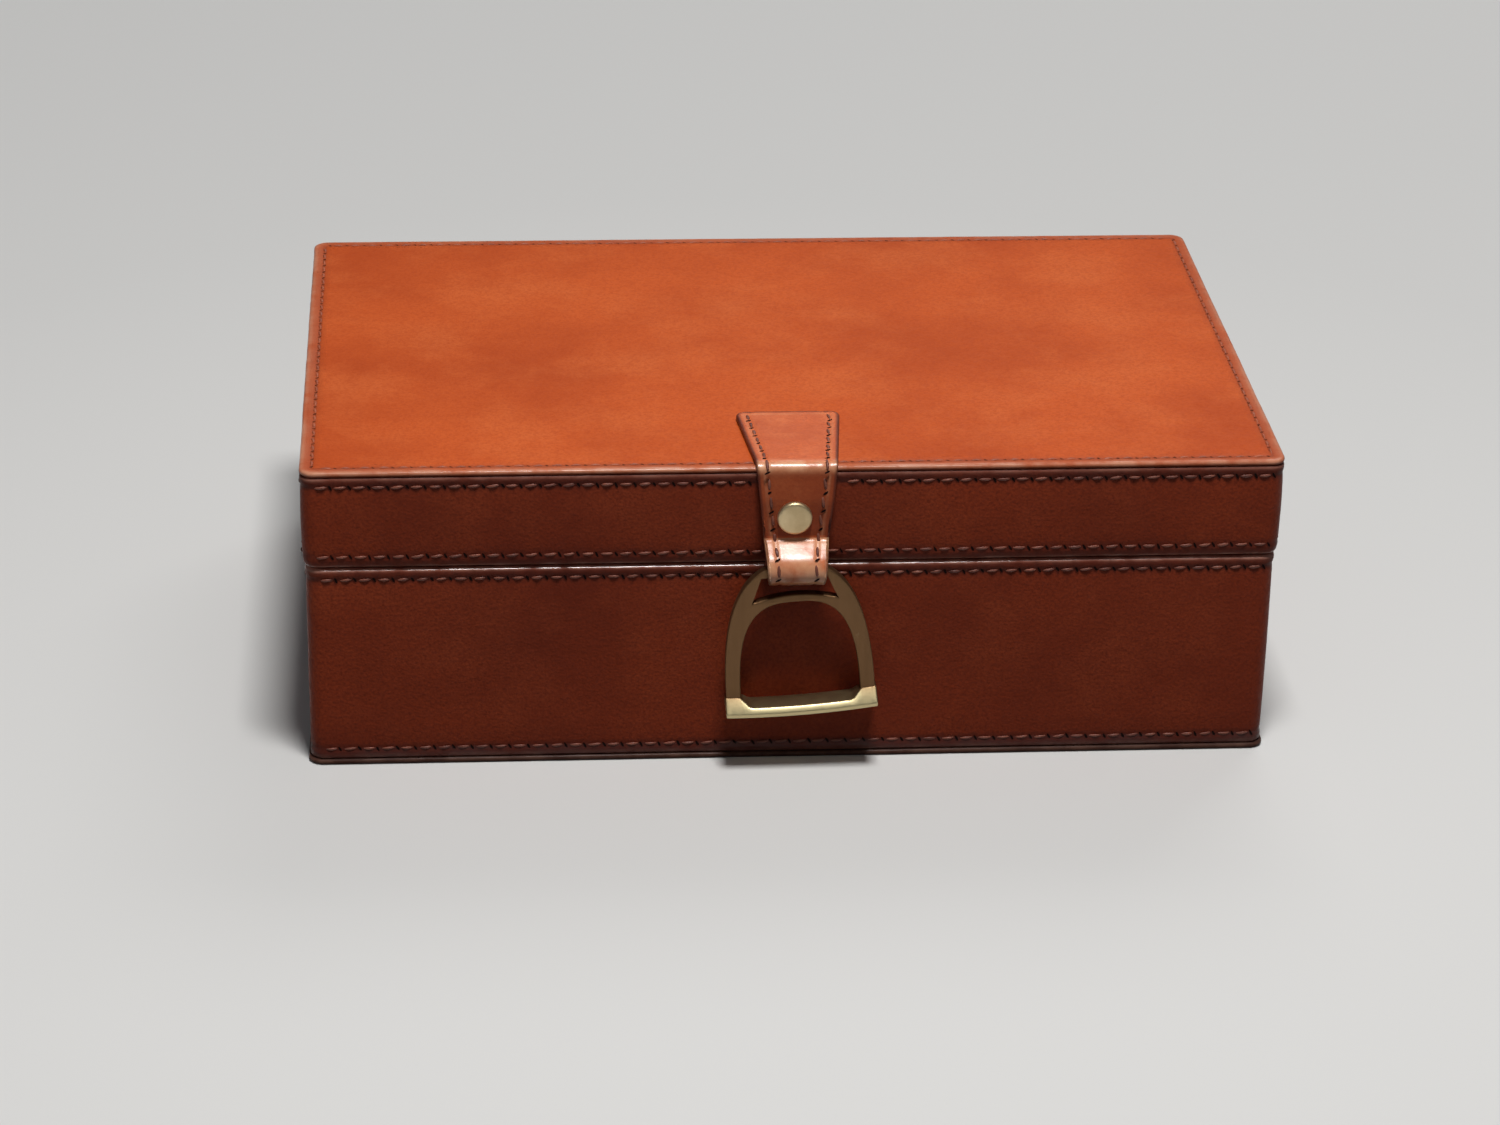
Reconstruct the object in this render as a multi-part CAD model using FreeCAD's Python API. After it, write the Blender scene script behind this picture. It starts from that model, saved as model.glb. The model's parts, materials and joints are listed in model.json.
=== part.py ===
import FreeCAD, Part
import math
import os

# A leather covered jewellery case with a hinged lid, a lift-out tray and a stirrup for a pull.
# Millimetres. X runs along the front, Y from the front to the back, Z up from the table.
# The origin is the middle of the bottom face.

# Case
case_width = 260.0            # lid, outside its leather
case_depth = 169.0            # lid, outside its leather
case_height = 86.0            # table to the top of the lid
lid_height = 27.5
seam_gap = 0.6                # open line between the base and the lid
lid_overhang = 0.8            # the lid stands this far proud of the base on every side
board_corner = 1.4            # upright corners of the boards, under the leather

# Boards and coverings
board = 4.0
leather = 1.6
rim_turn_in = 0.8             # skived leather folded over each rim
lining = 1.0                  # suede on card
lining_setback = 0.5          # lining edge below the rim
sole_lip = 0.5                # bottom leather stands proud of the sides

# Fittings in the base
floor_pad = 2.5
ledge_width = 4.0             # strips that carry the tray
base_divider = 4.0
divider_headroom = 2.0        # free height between the base divider and the tray
tray_seat_gap = 0.1
tray_setdown = 1.0            # tray walls below the rim of the base
tray_clearance = 0.8          # tray to lining, each side

# Tray
tray_height = 24.0
tray_wall = 3.0
tray_floor = 2.5
tray_lining = 1.0
tray_divider = 3.0
tray_divider_setdown = 3.0    # dividers below the tray walls
ring_zone = 84.0              # clear width of the part with the ring rolls
front_zone = 54.0             # clear depth of the two small front compartments
roll_count = 5
roll_height = 16.0
roll_gap = 0.8                # slit between two rolls
roll_end_gap = 0.5
tab_width = 16.0
tab_thickness = 0.8
tab_rise = 5.0                # pull tab above the tray wall
tab_tail = 12.0               # pull tab sunk in the inner face of the tray wall

# Lid inside
lid_pad = 3.0
mirror_width = 150.0
mirror_depth = 92.0
mirror_clearance = 0.3        # mirror in the window of the pad
frame_width = 8.0             # leather frame round the mirror
frame_overlap = 2.0           # frame over the edge of the mirror
frame_thickness = 1.2

# Strap
strap_thickness = 1.5
strap_tail = 34.0             # length on the lid top
strap_tail_width = 28.4
strap_tail_radius = 3.0
strap_edge_width = 21.6       # where it bends over the front edge
strap_crease_width = 16.8     # under the rivet
strap_loop_width = 14.4       # at the bottom of the loop
strap_lie = 2.0               # length that lies on the lid before it leaves for the fold
underlap = 4.5                # folded end above the middle of the rivet
rivet_drop = 13.0             # middle of the rivet below the lid top
crease_margin = 2.25          # crease below the rivet cap
loop_throat = 6.9             # crease to the middle of the loop
loop_clearance = 0.28         # strap round the top of the stirrup

# Rivet
rivet_cap_radius = 4.45
rivet_cap_height = 1.6
rivet_cap_round = 0.9
rivet_post_radius = 1.5
rivet_washer_radius = 3.5
rivet_washer = 1.0
rivet_clearance = 0.05

# Stirrup
stirrup_width = 40.0          # across the tread
stirrup_rise = 1.4            # top of the arch above the swing axis
stirrup_depth = 3.0           # limbs, front to back
arch_radius = 18.2            # outside of the arch
arch_band = 3.6               # top of the arch, over the eye
limb_width = 2.9              # at the shoulders
limb_foot = 3.9               # where the limbs meet the tread
limb_length = 12.4            # inside, from the shoulders to the tread
eye_height = 5.6
eye_clearance = 1.15          # eye beside the strap
eye_flare = 3.9               # each end of the eye widens this much towards the crossbar
eye_bow = 2.0                 # rise of the crossbar between its ends
crossbar = 1.9
tread_height = 4.6
tread_reach = 4.5             # tread in front of the swing axis
tread_gap = 1.2               # tread clear of the front of the base
tread_lip = 1.2               # upright edge under the slope of the tread
stirrup_skew = 4.3            # it hangs this many degrees out of true, foot to the right

# Hinges
hinge_spacing = 150.0
hinge_length = 30.0
leaf_height = 13.0            # from the pin axis to the far edge of a leaf
leaf_thickness = 1.2
knuckle_radius = 2.5
knuckle_gap = 0.25            # between neighbouring knuckles
knuckle_relief = 0.4          # leaf edge to the knuckles of the other leaf
hinge_standoff = 0.3          # knuckles clear of the back of the lid
pin_radius = 1.1
pin_clearance = 0.05
stop_angle = 95.0
stop_reach = 5.5
stop_gap = 0.15
stop_depth = 0.8
screw_inset = 5.0
screw_head_radius = 1.9
screw_head_height = 0.9
screw_head_round = 0.4
screw_slot_width = 0.5
screw_slot_depth = 0.4
screw_radius = 0.9
screw_length = 4.5
screw_clearance = 0.05

# Levels
lid_bottom = case_height - lid_height
rim = lid_bottom - seam_gap
floor_top = leather + board
pad_top = floor_top + floor_pad
tray_top = rim - tray_setdown
tray_bottom = tray_top - tray_height
tray_floor_top = tray_bottom + tray_floor + tray_lining
ledge_top = tray_bottom - tray_seat_gap
lid_board_top = case_height - leather
lid_board_bottom = lid_board_top - board
lid_pad_bottom = lid_board_bottom - lid_pad

# Plan sizes
base_width = case_width - 2 * lid_overhang
base_depth = case_depth - 2 * lid_overhang
skin = leather + board + lining
outer_corner = board_corner + leather
cavity_width = base_width - 2 * skin
cavity_depth = base_depth - 2 * skin
lid_cavity_width = case_width - 2 * skin
lid_cavity_depth = case_depth - 2 * skin
tray_width = cavity_width - 2 * tray_clearance
tray_depth = cavity_depth - 2 * tray_clearance
tray_inner_width = tray_width - 2 * tray_wall
tray_inner_depth = tray_depth - 2 * tray_wall

# Lines that several pieces share
lid_front = -case_depth / 2
lid_back = case_depth / 2
base_back = base_depth / 2
base_front = -base_depth / 2
band_below = arch_band - stirrup_rise + strap_loop_width / 2 * math.sin(math.radians(stirrup_skew))
loop_radius = math.hypot(band_below, stirrup_depth / 2) + loop_clearance
loop_outer = loop_radius + strap_thickness
swing_y = lid_front - loop_outer
rivet_z = case_height - rivet_drop
crease_z = rivet_z - rivet_cap_radius - crease_margin
swing_z = crease_z - loop_throat
underlap_z = rivet_z + underlap
hinge_y = lid_back + hinge_standoff + knuckle_radius
hinge_z = (rim + lid_bottom) / 2
leaf_start = knuckle_radius + knuckle_relief
hinge_places = (("left", -hinge_spacing / 2), ("right", hinge_spacing / 2))

ALONG_X = FreeCAD.Vector(1, 0, 0)
ALONG_Y = FreeCAD.Vector(0, 1, 0)
ALONG_Z = FreeCAD.Vector(0, 0, 1)
TOLERANCE = 1e-6              # a shorter length counts as none


def point(x, y, z):
    return FreeCAD.Vector(x, y, z)


def box(x, y, z):
    """A block between the low and high values of each direction."""
    return Part.makeBox(x[1] - x[0], y[1] - y[0], z[1] - z[0], point(x[0], y[0], z[0]))


def middle(size, at=0.0):
    """Low and high values of a size that is centred."""
    return (at - size / 2, at + size / 2)


def upright_edges(solid, beyond_y=-math.inf):
    """The edges of a solid that stand straight up, all of them or only those behind a line."""
    boxes = [(edge, edge.BoundBox) for edge in solid.Edges]
    return [edge for edge, bounds in boxes
            if max(bounds.XLength, bounds.YLength) < TOLERANCE and bounds.YMin > beyond_y]


def rounded_block(width, depth, z, radius):
    """A centred block with rounded upright corners."""
    block = box(middle(width), middle(depth), z)
    return block.makeFillet(radius, upright_edges(block))


def prism(points, along):
    """A closed outline of straight lines, drawn out along a vector."""
    return Part.Face(Part.makePolygon(points + points[:1])).extrude(along)


def outlined(edges, along):
    """A closed outline of lines and arcs in order, drawn out along a vector."""
    return Part.Face(Part.Wire([edge.toShape() for edge in edges])).extrude(along)


def only_solid(shape):
    """The one solid of a finished cut or join."""
    return shape.removeSplitter().Solids[0]


def save(name, *solids):
    shape = solids[0] if len(solids) == 1 else Part.makeCompound(solids)
    shape.exportStep(f"parts/{name}.step")


def four_walls(width, depth, thickness, z, corner=None):
    """Front and back walls of the full width, and side walls that stand between them."""
    whole = rounded_block(width, depth, z, corner) if corner else box(middle(width), middle(depth), z)
    x_out, y_out = width / 2, depth / 2
    side_y = middle(depth - 2 * thickness)
    return {
        "front": whole.common(box(middle(width), (-y_out, -y_out + thickness), z)).Solids[0],
        "back": whole.common(box(middle(width), (y_out - thickness, y_out), z)).Solids[0],
        "left": box((-x_out, -x_out + thickness), side_y, z),
        "right": box((x_out - thickness, x_out), side_y, z),
    }


# Leather bands

def side_band(width, depth, z, fold_z):
    """The band of leather round the sides, with its edge folded over the rim of the boards."""
    outside = rounded_block(width, depth, z, outer_corner)
    boards = rounded_block(width - 2 * leather, depth - 2 * leather, z, board_corner)
    hollow = box(middle(width - 2 * (leather + board)), middle(depth - 2 * (leather + board)), z)
    fold = rounded_block(width, depth, fold_z, outer_corner).cut(hollow)
    return only_solid(outside.cut(boards).fuse(fold))


# Hinges

def hinge_spans():
    """Places of the three knuckles along one hinge."""
    span = hinge_length / 3
    edges = [-hinge_length / 2 + span * i for i in range(4)]
    return [(edges[i] + knuckle_gap / 2, edges[i + 1] - knuckle_gap / 2) for i in range(3)]


def leaf_screw_places(x):
    reach = hinge_length / 2 - screw_inset
    return [x - reach, x, x + reach]


def screw_height(side):
    """Height of a leaf's screws: side is 1 on the lid and -1 on the base."""
    return hinge_z + side * (leaf_start + leaf_height) / 2


def screw_tip(side):
    """How far back the screws of one leaf reach into the case."""
    back = lid_back if side == 1 else base_back
    return back + leaf_thickness - screw_length


def screw_holes(x, side):
    """Round holes for the screws of one leaf, through the leaf and into the back of the case."""
    tip = screw_tip(side)
    return [Part.makeCylinder(screw_radius + screw_clearance, hinge_y - tip,
                              point(place, tip, screw_height(side)), ALONG_Y)
            for place in leaf_screw_places(x)]


def hinge_leaf(x, side, back, knuckles):
    """One leaf on the back of the case, with its knuckles round the pin axis."""
    far, near = hinge_z + side * leaf_height, hinge_z + side * leaf_start
    leaf = box(middle(hinge_length, x), (back, back + leaf_thickness), (min(far, near), max(far, near)))
    for low, high in knuckles:
        span = (x + low, x + high)
        web = box(span, (back, hinge_y), (min(near, hinge_z), max(near, hinge_z)))
        barrel = Part.makeCylinder(knuckle_radius, high - low, point(x + low, hinge_y, hinge_z), ALONG_X)
        leaf = leaf.fuse(web).fuse(barrel)
    return leaf


def stop_tongue(x, span):
    """A tongue on the base knuckle where the open lid leaf lands."""
    angle = math.radians(stop_angle)
    leaf_face = hinge_y - (lid_back + leaf_thickness)

    def landing(reach):
        return hinge_z + leaf_face / math.sin(angle) + reach / math.tan(angle) - stop_gap

    side = [
        point(x + span[0], hinge_y, hinge_z - stop_depth),
        point(x + span[0], hinge_y + stop_reach, hinge_z - stop_depth),
        point(x + span[0], hinge_y + stop_reach, landing(stop_reach)),
        point(x + span[0], hinge_y, landing(0.0)),
    ]
    return prism(side, ALONG_X * (span[1] - span[0]))


def on_pin_axis(x, radius, length):
    """A cylinder on the pin axis, centred on one hinge."""
    return Part.makeCylinder(radius, length, point(x - length / 2, hinge_y, hinge_z), ALONG_X)


def pin_hole(x, radius):
    return on_pin_axis(x, radius, hinge_length + 2 * knuckle_gap)


def screw(x, side):
    """A round head with a driver slot, on a plain shank."""
    tip = screw_tip(side)
    face = tip + screw_length
    z = screw_height(side)
    head = Part.makeCylinder(screw_head_radius, screw_head_height, point(x, face, z), ALONG_Y)
    rim_edge = [edge for edge in head.Edges if edge.BoundBox.YMin > face + screw_head_height / 2]
    head = head.makeFillet(screw_head_round, rim_edge)
    top = face + screw_head_height
    slot_length = 3 * screw_head_radius
    slot = box(middle(slot_length, x), (top - screw_slot_depth, top), middle(screw_slot_width, z))
    shank = Part.makeCylinder(screw_radius, screw_length, point(x, tip, z), ALONG_Y)
    return only_solid(head.cut(slot).fuse(shank))


def build_hinges():
    first, second, third = hinge_spans()
    screws = {1: [], -1: []}
    for name, x in hinge_places:
        lid_leaf = hinge_leaf(x, 1, lid_back, [second]).cut(pin_hole(x, pin_radius + pin_clearance))
        base_leaf = hinge_leaf(x, -1, base_back, [first, third])
        for span in (first, third):
            base_leaf = base_leaf.fuse(stop_tongue(x, span))
        base_leaf = base_leaf.cut(pin_hole(x, pin_radius))
        pin = on_pin_axis(x, pin_radius, hinge_length)
        save(f"hinge_leaf_lid_{name}", only_solid(lid_leaf.cut(screw_holes(x, 1))))
        save(f"hinge_leaf_base_{name}", only_solid(base_leaf.cut(screw_holes(x, -1))))
        save(f"hinge_pin_{name}", pin)
        for side in screws:
            screws[side] += [screw(place, side) for place in leaf_screw_places(x)]
    save("hinge_screws_lid", *screws[1])
    save("hinge_screws_base", *screws[-1])


def all_screw_holes(side):
    return [hole for name, x in hinge_places for hole in screw_holes(x, side)]


# Base

def build_base():
    boards = four_walls(base_width - 2 * leather, base_depth - 2 * leather, board,
                        (leather, rim - rim_turn_in), board_corner)
    boards["back"] = only_solid(boards["back"].cut(all_screw_holes(-1)))
    for side, wall in boards.items():
        save(f"base_{side}_board", wall)

    floor_size = base_width - 2 * (leather + board), base_depth - 2 * (leather + board)
    save("base_floor_board", box(middle(floor_size[0]), middle(floor_size[1]), (leather, floor_top)))
    save("base_bottom_leather", rounded_block(base_width + 2 * sole_lip, base_depth + 2 * sole_lip,
                                              (0, leather), outer_corner + sole_lip))
    band = side_band(base_width, base_depth, (leather, rim), (rim - rim_turn_in, rim))
    save("base_side_leather", only_solid(band.cut(all_screw_holes(-1))))

    linings = four_walls(floor_size[0], floor_size[1], lining, (floor_top, rim - lining_setback))
    for side, wall in linings.items():
        save(f"base_{side}_lining", wall)

    edge = cavity_width / 2
    for side, x in (("left", (-edge, -edge + ledge_width)), ("right", (edge - ledge_width, edge))):
        save(f"tray_ledge_{side}", box(x, middle(cavity_depth), (floor_top, ledge_top)))
    between_ledges = middle(cavity_width - 2 * ledge_width)
    save("base_floor_pad", box(between_ledges, middle(cavity_depth), (floor_top, pad_top)))
    divider_z = (pad_top, tray_bottom - divider_headroom)
    save("base_divider", box(middle(base_divider), middle(cavity_depth), divider_z))


# Tray

def ring_roll(x, width, y, z):
    """A padded roll with upright sides and a round top."""
    radius = width / 2
    shoulder = z + roll_height - radius
    body = box((x, x + width), y, (z, shoulder))
    crown = Part.makeCylinder(radius, y[1] - y[0], point(x + radius, y[0], shoulder), ALONG_Y)
    return only_solid(body.fuse(crown))


def build_tray():
    inside = middle(tray_inner_width), middle(tray_inner_depth)
    left, right = inside[0]
    front, back = inside[1]
    tab_z = (tray_top - tab_tail, tray_top + tab_rise)
    tabs = {"left": box((left - tab_thickness, left), middle(tab_width), tab_z),
            "right": box((right, right + tab_thickness), middle(tab_width), tab_z)}
    walls = four_walls(tray_width, tray_depth, tray_wall, (tray_bottom, tray_top))
    for side, tab in tabs.items():
        save(f"tray_tab_{side}", tab)
        walls[side] = walls[side].cut(tab).Solids[0]
    for side, wall in walls.items():
        save(f"tray_{side}_wall", wall)
    save("tray_floor", box(*inside, (tray_bottom, tray_bottom + tray_floor)))
    save("tray_floor_lining", box(*inside, (tray_bottom + tray_floor, tray_floor_top)))

    divider_z = (tray_floor_top, tray_top - tray_divider_setdown)
    ring_edge = left + ring_zone
    right_zone = (ring_edge + tray_divider, right)
    cross_y = (front + front_zone, front + front_zone + tray_divider)
    save("tray_ring_divider", box((ring_edge, ring_edge + tray_divider), (front, back), divider_z))
    save("tray_cross_divider", box(right_zone, cross_y, divider_z))
    halfway = sum(right_zone) / 2
    save("tray_front_divider", box(middle(tray_divider, halfway), (front, cross_y[0]), divider_z))

    pitch = ring_zone / roll_count
    roll_y = (front + roll_end_gap, back - roll_end_gap)
    rolls = [ring_roll(left + pitch * i + roll_gap / 2, pitch - roll_gap, roll_y, tray_floor_top)
             for i in range(roll_count)]
    save("ring_rolls", *rolls)


# Lid

def rivet_bore(radius, y):
    """A cylinder on the rivet's axis, from one depth to another."""
    return Part.makeCylinder(radius, y[1] - y[0], point(0, y[0], rivet_z), ALONG_Y)


def rivet_hole():
    """The hole for the rivet's post, through everything that it holds."""
    board_back = lid_front + leather + board
    return rivet_bore(rivet_post_radius + rivet_clearance, (lid_front - 2 * loop_outer, board_back))


def build_lid():
    top_z = (lid_board_top, case_height)
    save("lid_top_leather", rounded_block(case_width, case_depth, top_z, outer_corner))
    save("lid_top_board", rounded_block(case_width - 2 * leather, case_depth - 2 * leather,
                                        (lid_board_bottom, lid_board_top), board_corner))
    fold_z = (lid_bottom, lid_bottom + rim_turn_in)
    band = side_band(case_width, case_depth, (lid_bottom, lid_board_top), fold_z)
    save("lid_side_leather", only_solid(band.cut(all_screw_holes(1)).cut(rivet_hole())))

    boards = four_walls(case_width - 2 * leather, case_depth - 2 * leather, board,
                        (lid_bottom + rim_turn_in, lid_board_bottom), board_corner)
    boards["back"] = only_solid(boards["back"].cut(all_screw_holes(1)))
    board_back = lid_front + leather + board
    washer_seat = rivet_bore(rivet_washer_radius + rivet_clearance, (board_back - rivet_washer, board_back))
    boards["front"] = only_solid(boards["front"].cut(rivet_hole()).cut(washer_seat))
    for side, wall in boards.items():
        save(f"lid_{side}_board", wall)

    hollow = case_width - 2 * (leather + board), case_depth - 2 * (leather + board)
    linings = four_walls(hollow[0], hollow[1], lining, (lid_bottom + lining_setback, lid_board_bottom))
    for side, wall in linings.items():
        save(f"lid_{side}_lining", wall)

    pad_z = (lid_pad_bottom, lid_board_bottom)
    window_size = mirror_width + 2 * mirror_clearance, mirror_depth + 2 * mirror_clearance
    window = box(middle(window_size[0]), middle(window_size[1]), pad_z)
    save("lid_pad", box(middle(lid_cavity_width), middle(lid_cavity_depth), pad_z).cut(window).Solids[0])
    save("lid_mirror", box(middle(mirror_width), middle(mirror_depth), pad_z))
    frame_z = (lid_pad_bottom - frame_thickness, lid_pad_bottom)
    sight = mirror_width - 2 * frame_overlap, mirror_depth - 2 * frame_overlap
    sight_hole = box(middle(sight[0]), middle(sight[1]), frame_z)
    border = box(middle(sight[0] + 2 * frame_width), middle(sight[1] + 2 * frame_width), frame_z)
    save("mirror_frame", border.cut(sight_hole).Solids[0])


# Strap and rivet

def on_strap(out, z):
    """A point on the strap's side view: its distance out from the lid front, and its height."""
    return point(-case_width / 2, lid_front - out, z)


def loop_tangent(start_out, radius):
    """Where a line from the crease touches a circle round the swing axis, on its front."""
    out, rise = start_out - loop_outer, crease_z - swing_z
    reach = math.hypot(out, rise)
    turn = math.atan2(rise, out) - math.acos(radius / reach)
    return loop_outer + radius * math.cos(turn), swing_z + radius * math.sin(turn)


def line(start, end):
    return Part.LineSegment(start, end)


def strap_profile():
    """The strap's side view over the case's whole width: tail, fold over the edge, front and loop."""
    t = strap_thickness
    lie_z = case_height - strap_lie
    touch = on_strap(*loop_tangent(2 * t, loop_outer))
    back_touch = on_strap(0, swing_z)
    bottom = on_strap(loop_outer, swing_z - loop_outer)
    corner = on_strap(0, case_height)
    fold_mid = on_strap(t * math.cos(math.pi / 4), case_height + t * math.sin(math.pi / 4))
    fold_top = on_strap(0, case_height + t)
    fold_low = on_strap(t, case_height)
    straight = [on_strap(-strap_tail, case_height + t), on_strap(-strap_tail, case_height), corner,
                on_strap(0, lie_z), on_strap(t, underlap_z), on_strap(0, underlap_z), back_touch]
    front = [touch, on_strap(2 * t, crease_z), on_strap(2 * t, underlap_z), on_strap(t, lie_z), fold_low]
    edges = [line(fold_top, straight[0])]
    edges += [line(a, b) for a, b in zip(straight, straight[1:])]
    edges.append(Part.Arc(back_touch, bottom, touch))
    edges += [line(a, b) for a, b in zip(front, front[1:])]
    edges.append(Part.Arc(fold_low, fold_mid, fold_top))
    body = outlined(edges, ALONG_X * case_width)

    apex = on_strap(t, crease_z)
    inner_touch = on_strap(*loop_tangent(t, loop_radius))
    inner_back = on_strap(t, swing_z)
    inner_bottom = on_strap(loop_outer, swing_z - loop_radius)
    eye = [line(apex, inner_back), Part.Arc(inner_back, inner_bottom, inner_touch), line(inner_touch, apex)]
    return body.cut(outlined(eye, ALONG_X * case_width))


def strap_outline():
    """The strap's front view and top view, as two solids that hold its width."""
    low = swing_z - loop_outer - strap_thickness
    high = case_height + 2 * strap_thickness
    half = [(strap_loop_width / 2, low), (strap_crease_width / 2, crease_z),
            (strap_edge_width / 2, case_height), (strap_edge_width / 2, high)]
    ring = [point(x, lid_front, z) for x, z in half] + [point(-x, lid_front, z) for x, z in reversed(half)]
    front = prism(ring, ALONG_Y * (-2 * loop_outer - strap_thickness))

    edge, tail = strap_edge_width / 2, strap_tail_width / 2
    end = lid_front + strap_tail
    base = case_height - strap_thickness
    plan = [point(-edge, lid_front, base), point(edge, lid_front, base),
            point(tail, end, base), point(-tail, end, base)]
    top = prism(plan, ALONG_Z * (3 * strap_thickness))
    return front.fuse(top.makeFillet(strap_tail_radius, upright_edges(top, beyond_y=end - TOLERANCE)))


def build_strap():
    strap = strap_profile().common(strap_outline()).cut(rivet_hole())
    save("strap", only_solid(strap))

    face = lid_front - 2 * strap_thickness
    board_back = lid_front + leather + board
    cap = rivet_bore(rivet_cap_radius, (face - rivet_cap_height, face))
    front_rim = [edge for edge in cap.Edges if edge.BoundBox.YMax < face - rivet_cap_height / 2]
    cap = cap.makeFillet(rivet_cap_round, front_rim)
    post = rivet_bore(rivet_post_radius, (face - rivet_cap_height / 2, board_back))
    save("strap_rivet", only_solid(cap.fuse(post)))
    washer = rivet_bore(rivet_washer_radius, (board_back - rivet_washer, board_back))
    save("rivet_washer", washer.cut(rivet_hole()).Solids[0])


# Stirrup

def on_stirrup(x, z, y):
    """A point of the stirrup before it is skewed, from the middle of its swing axis."""
    return point(x, swing_y + y, swing_z + z)


def arch_outline(radius, centre, foot_half, foot, depth):
    """A round arch on two flaring legs, drawn out to a depth."""
    y = -depth / 2
    left, right = on_stirrup(-radius, centre, y), on_stirrup(radius, centre, y)
    top = on_stirrup(0, centre + radius, y)
    foot_left, foot_right = on_stirrup(-foot_half, foot, y), on_stirrup(foot_half, foot, y)
    edges = [Part.Arc(left, top, right), line(right, foot_right),
             line(foot_right, foot_left), line(foot_left, left)]
    return outlined(edges, ALONG_Y * depth)


def stirrup_eye():
    """The slot that the strap passes through, over a bowed crossbar."""
    y = -stirrup_depth
    top = stirrup_rise - arch_band
    bar_top = top - eye_height
    bar_end = bar_top - eye_bow
    half_top = strap_loop_width / 2 + eye_clearance
    half_bar = half_top + eye_flare
    left_top, right_top = on_stirrup(-half_top, top, y), on_stirrup(half_top, top, y)
    left_bar, right_bar = on_stirrup(-half_bar, bar_end, y), on_stirrup(half_bar, bar_end, y)
    edges = [line(left_top, right_top), line(right_top, right_bar),
             Part.Arc(right_bar, on_stirrup(0, bar_top, y), left_bar), line(left_bar, left_top)]
    return outlined(edges, ALONG_Y * (2 * stirrup_depth))


def stirrup_tread(outline, foot):
    """The foot bar, which slopes out to the front and the back."""
    front, back = -tread_reach, base_front - tread_gap - swing_y
    shape = [(-stirrup_depth / 2, foot + tread_height), (front, foot + tread_lip), (front, foot),
             (back, foot), (back, foot + tread_lip), (stirrup_depth / 2, foot + tread_height)]
    start = -stirrup_width / 2
    bar = prism([on_stirrup(start, z, y) for y, z in shape], ALONG_X * stirrup_width)
    return bar.common(outline)


def build_stirrup():
    centre = stirrup_rise - arch_radius
    inner_radius = arch_radius - limb_width
    inner_centre = stirrup_rise - arch_band - eye_height - crossbar - inner_radius
    tread_top = inner_centre - limb_length
    foot = tread_top - tread_height
    foot_half = stirrup_width / 2
    whole = arch_outline(arch_radius, centre, foot_half, foot, stirrup_depth)
    deep = arch_outline(arch_radius, centre, foot_half, foot, 4 * tread_reach)
    opening = arch_outline(inner_radius, inner_centre, foot_half - limb_foot, tread_top, 2 * stirrup_depth)
    stirrup = only_solid(whole.cut(opening).cut(stirrup_eye()).fuse(stirrup_tread(deep, foot)))
    stirrup.rotate(point(0, swing_y, swing_z), -ALONG_Y, stirrup_skew)
    save("stirrup", stirrup)


os.makedirs("parts", exist_ok=True)
build_base()
build_tray()
build_lid()
build_hinges()
build_strap()
build_stirrup()
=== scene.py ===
import json
import math
import random
from collections import namedtuple

import bmesh
import bpy
from mathutils import Matrix, Vector, noise

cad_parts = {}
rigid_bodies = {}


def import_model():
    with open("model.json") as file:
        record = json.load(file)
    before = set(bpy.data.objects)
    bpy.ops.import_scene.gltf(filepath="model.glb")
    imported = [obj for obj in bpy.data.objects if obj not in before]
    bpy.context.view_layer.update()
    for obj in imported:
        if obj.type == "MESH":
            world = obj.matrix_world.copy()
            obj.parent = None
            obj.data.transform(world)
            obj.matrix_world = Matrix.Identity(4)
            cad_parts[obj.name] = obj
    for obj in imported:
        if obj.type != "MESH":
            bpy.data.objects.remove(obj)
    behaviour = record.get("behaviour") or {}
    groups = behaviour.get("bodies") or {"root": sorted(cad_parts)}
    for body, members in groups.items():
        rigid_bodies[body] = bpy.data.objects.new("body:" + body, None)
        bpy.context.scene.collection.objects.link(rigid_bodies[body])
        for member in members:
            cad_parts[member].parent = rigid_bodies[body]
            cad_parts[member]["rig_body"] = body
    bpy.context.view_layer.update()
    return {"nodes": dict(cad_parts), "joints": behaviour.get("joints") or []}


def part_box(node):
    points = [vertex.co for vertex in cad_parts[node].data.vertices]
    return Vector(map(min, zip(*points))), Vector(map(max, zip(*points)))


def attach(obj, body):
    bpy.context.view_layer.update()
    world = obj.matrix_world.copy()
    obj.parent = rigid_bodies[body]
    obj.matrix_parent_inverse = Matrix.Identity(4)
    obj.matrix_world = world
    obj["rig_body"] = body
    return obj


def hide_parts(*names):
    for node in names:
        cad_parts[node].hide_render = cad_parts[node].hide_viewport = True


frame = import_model()

# A leather covered jewellery case with a hinged lid, a lift-out tray and a stirrup for a pull.
# Pieces are modelled in millimetres and turned into metres when their mesh is finished.
MM = 0.001

# Leather covers
leather = 1.6
corner_radius = 4.0
corner_steps = 8
column_step = 1.0             # mesh columns along the sides
weld_distance = 1e-4
rim_depth = 5.6               # leather and board, from the outside to the inside of a rim
rim_turn_in = 0.8
lid_rim_pull = 0.6            # the lid's rim is drawn in, and the rim of the base shows below it
base_rim_swell = 0.25         # which stands out a little and catches the light
rim_swell = 0.3               # leather may stand this much outside its true outline
lid_rim_drop = 0.3            # the lid's leather hangs this far over the edge of its boards
seam_shade = 0.75             # strips along the seam and the lid's top, against the darker one at the sole, which is partly painted shade along the bottom
field_inset = 8.0             # rows further in than this shrink with the outline
panel_sink = 0.14             # side panels lie this much behind the strips along their edges
channel_depth = 0.3           # groove that the thread lies in
channel_half = 0.75
lid_top_row = 2.7             # stitch rows, from the nearest cut edge or folded rim
lid_rim_row = 3.5
base_rim_row = 3.2
base_sole_row = 3.0
panel_row = 3.3
panel_groove = 0.22           # groove round the top panel
panel_edge = 1.8              # side panels start this far from the stitch rows
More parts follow.
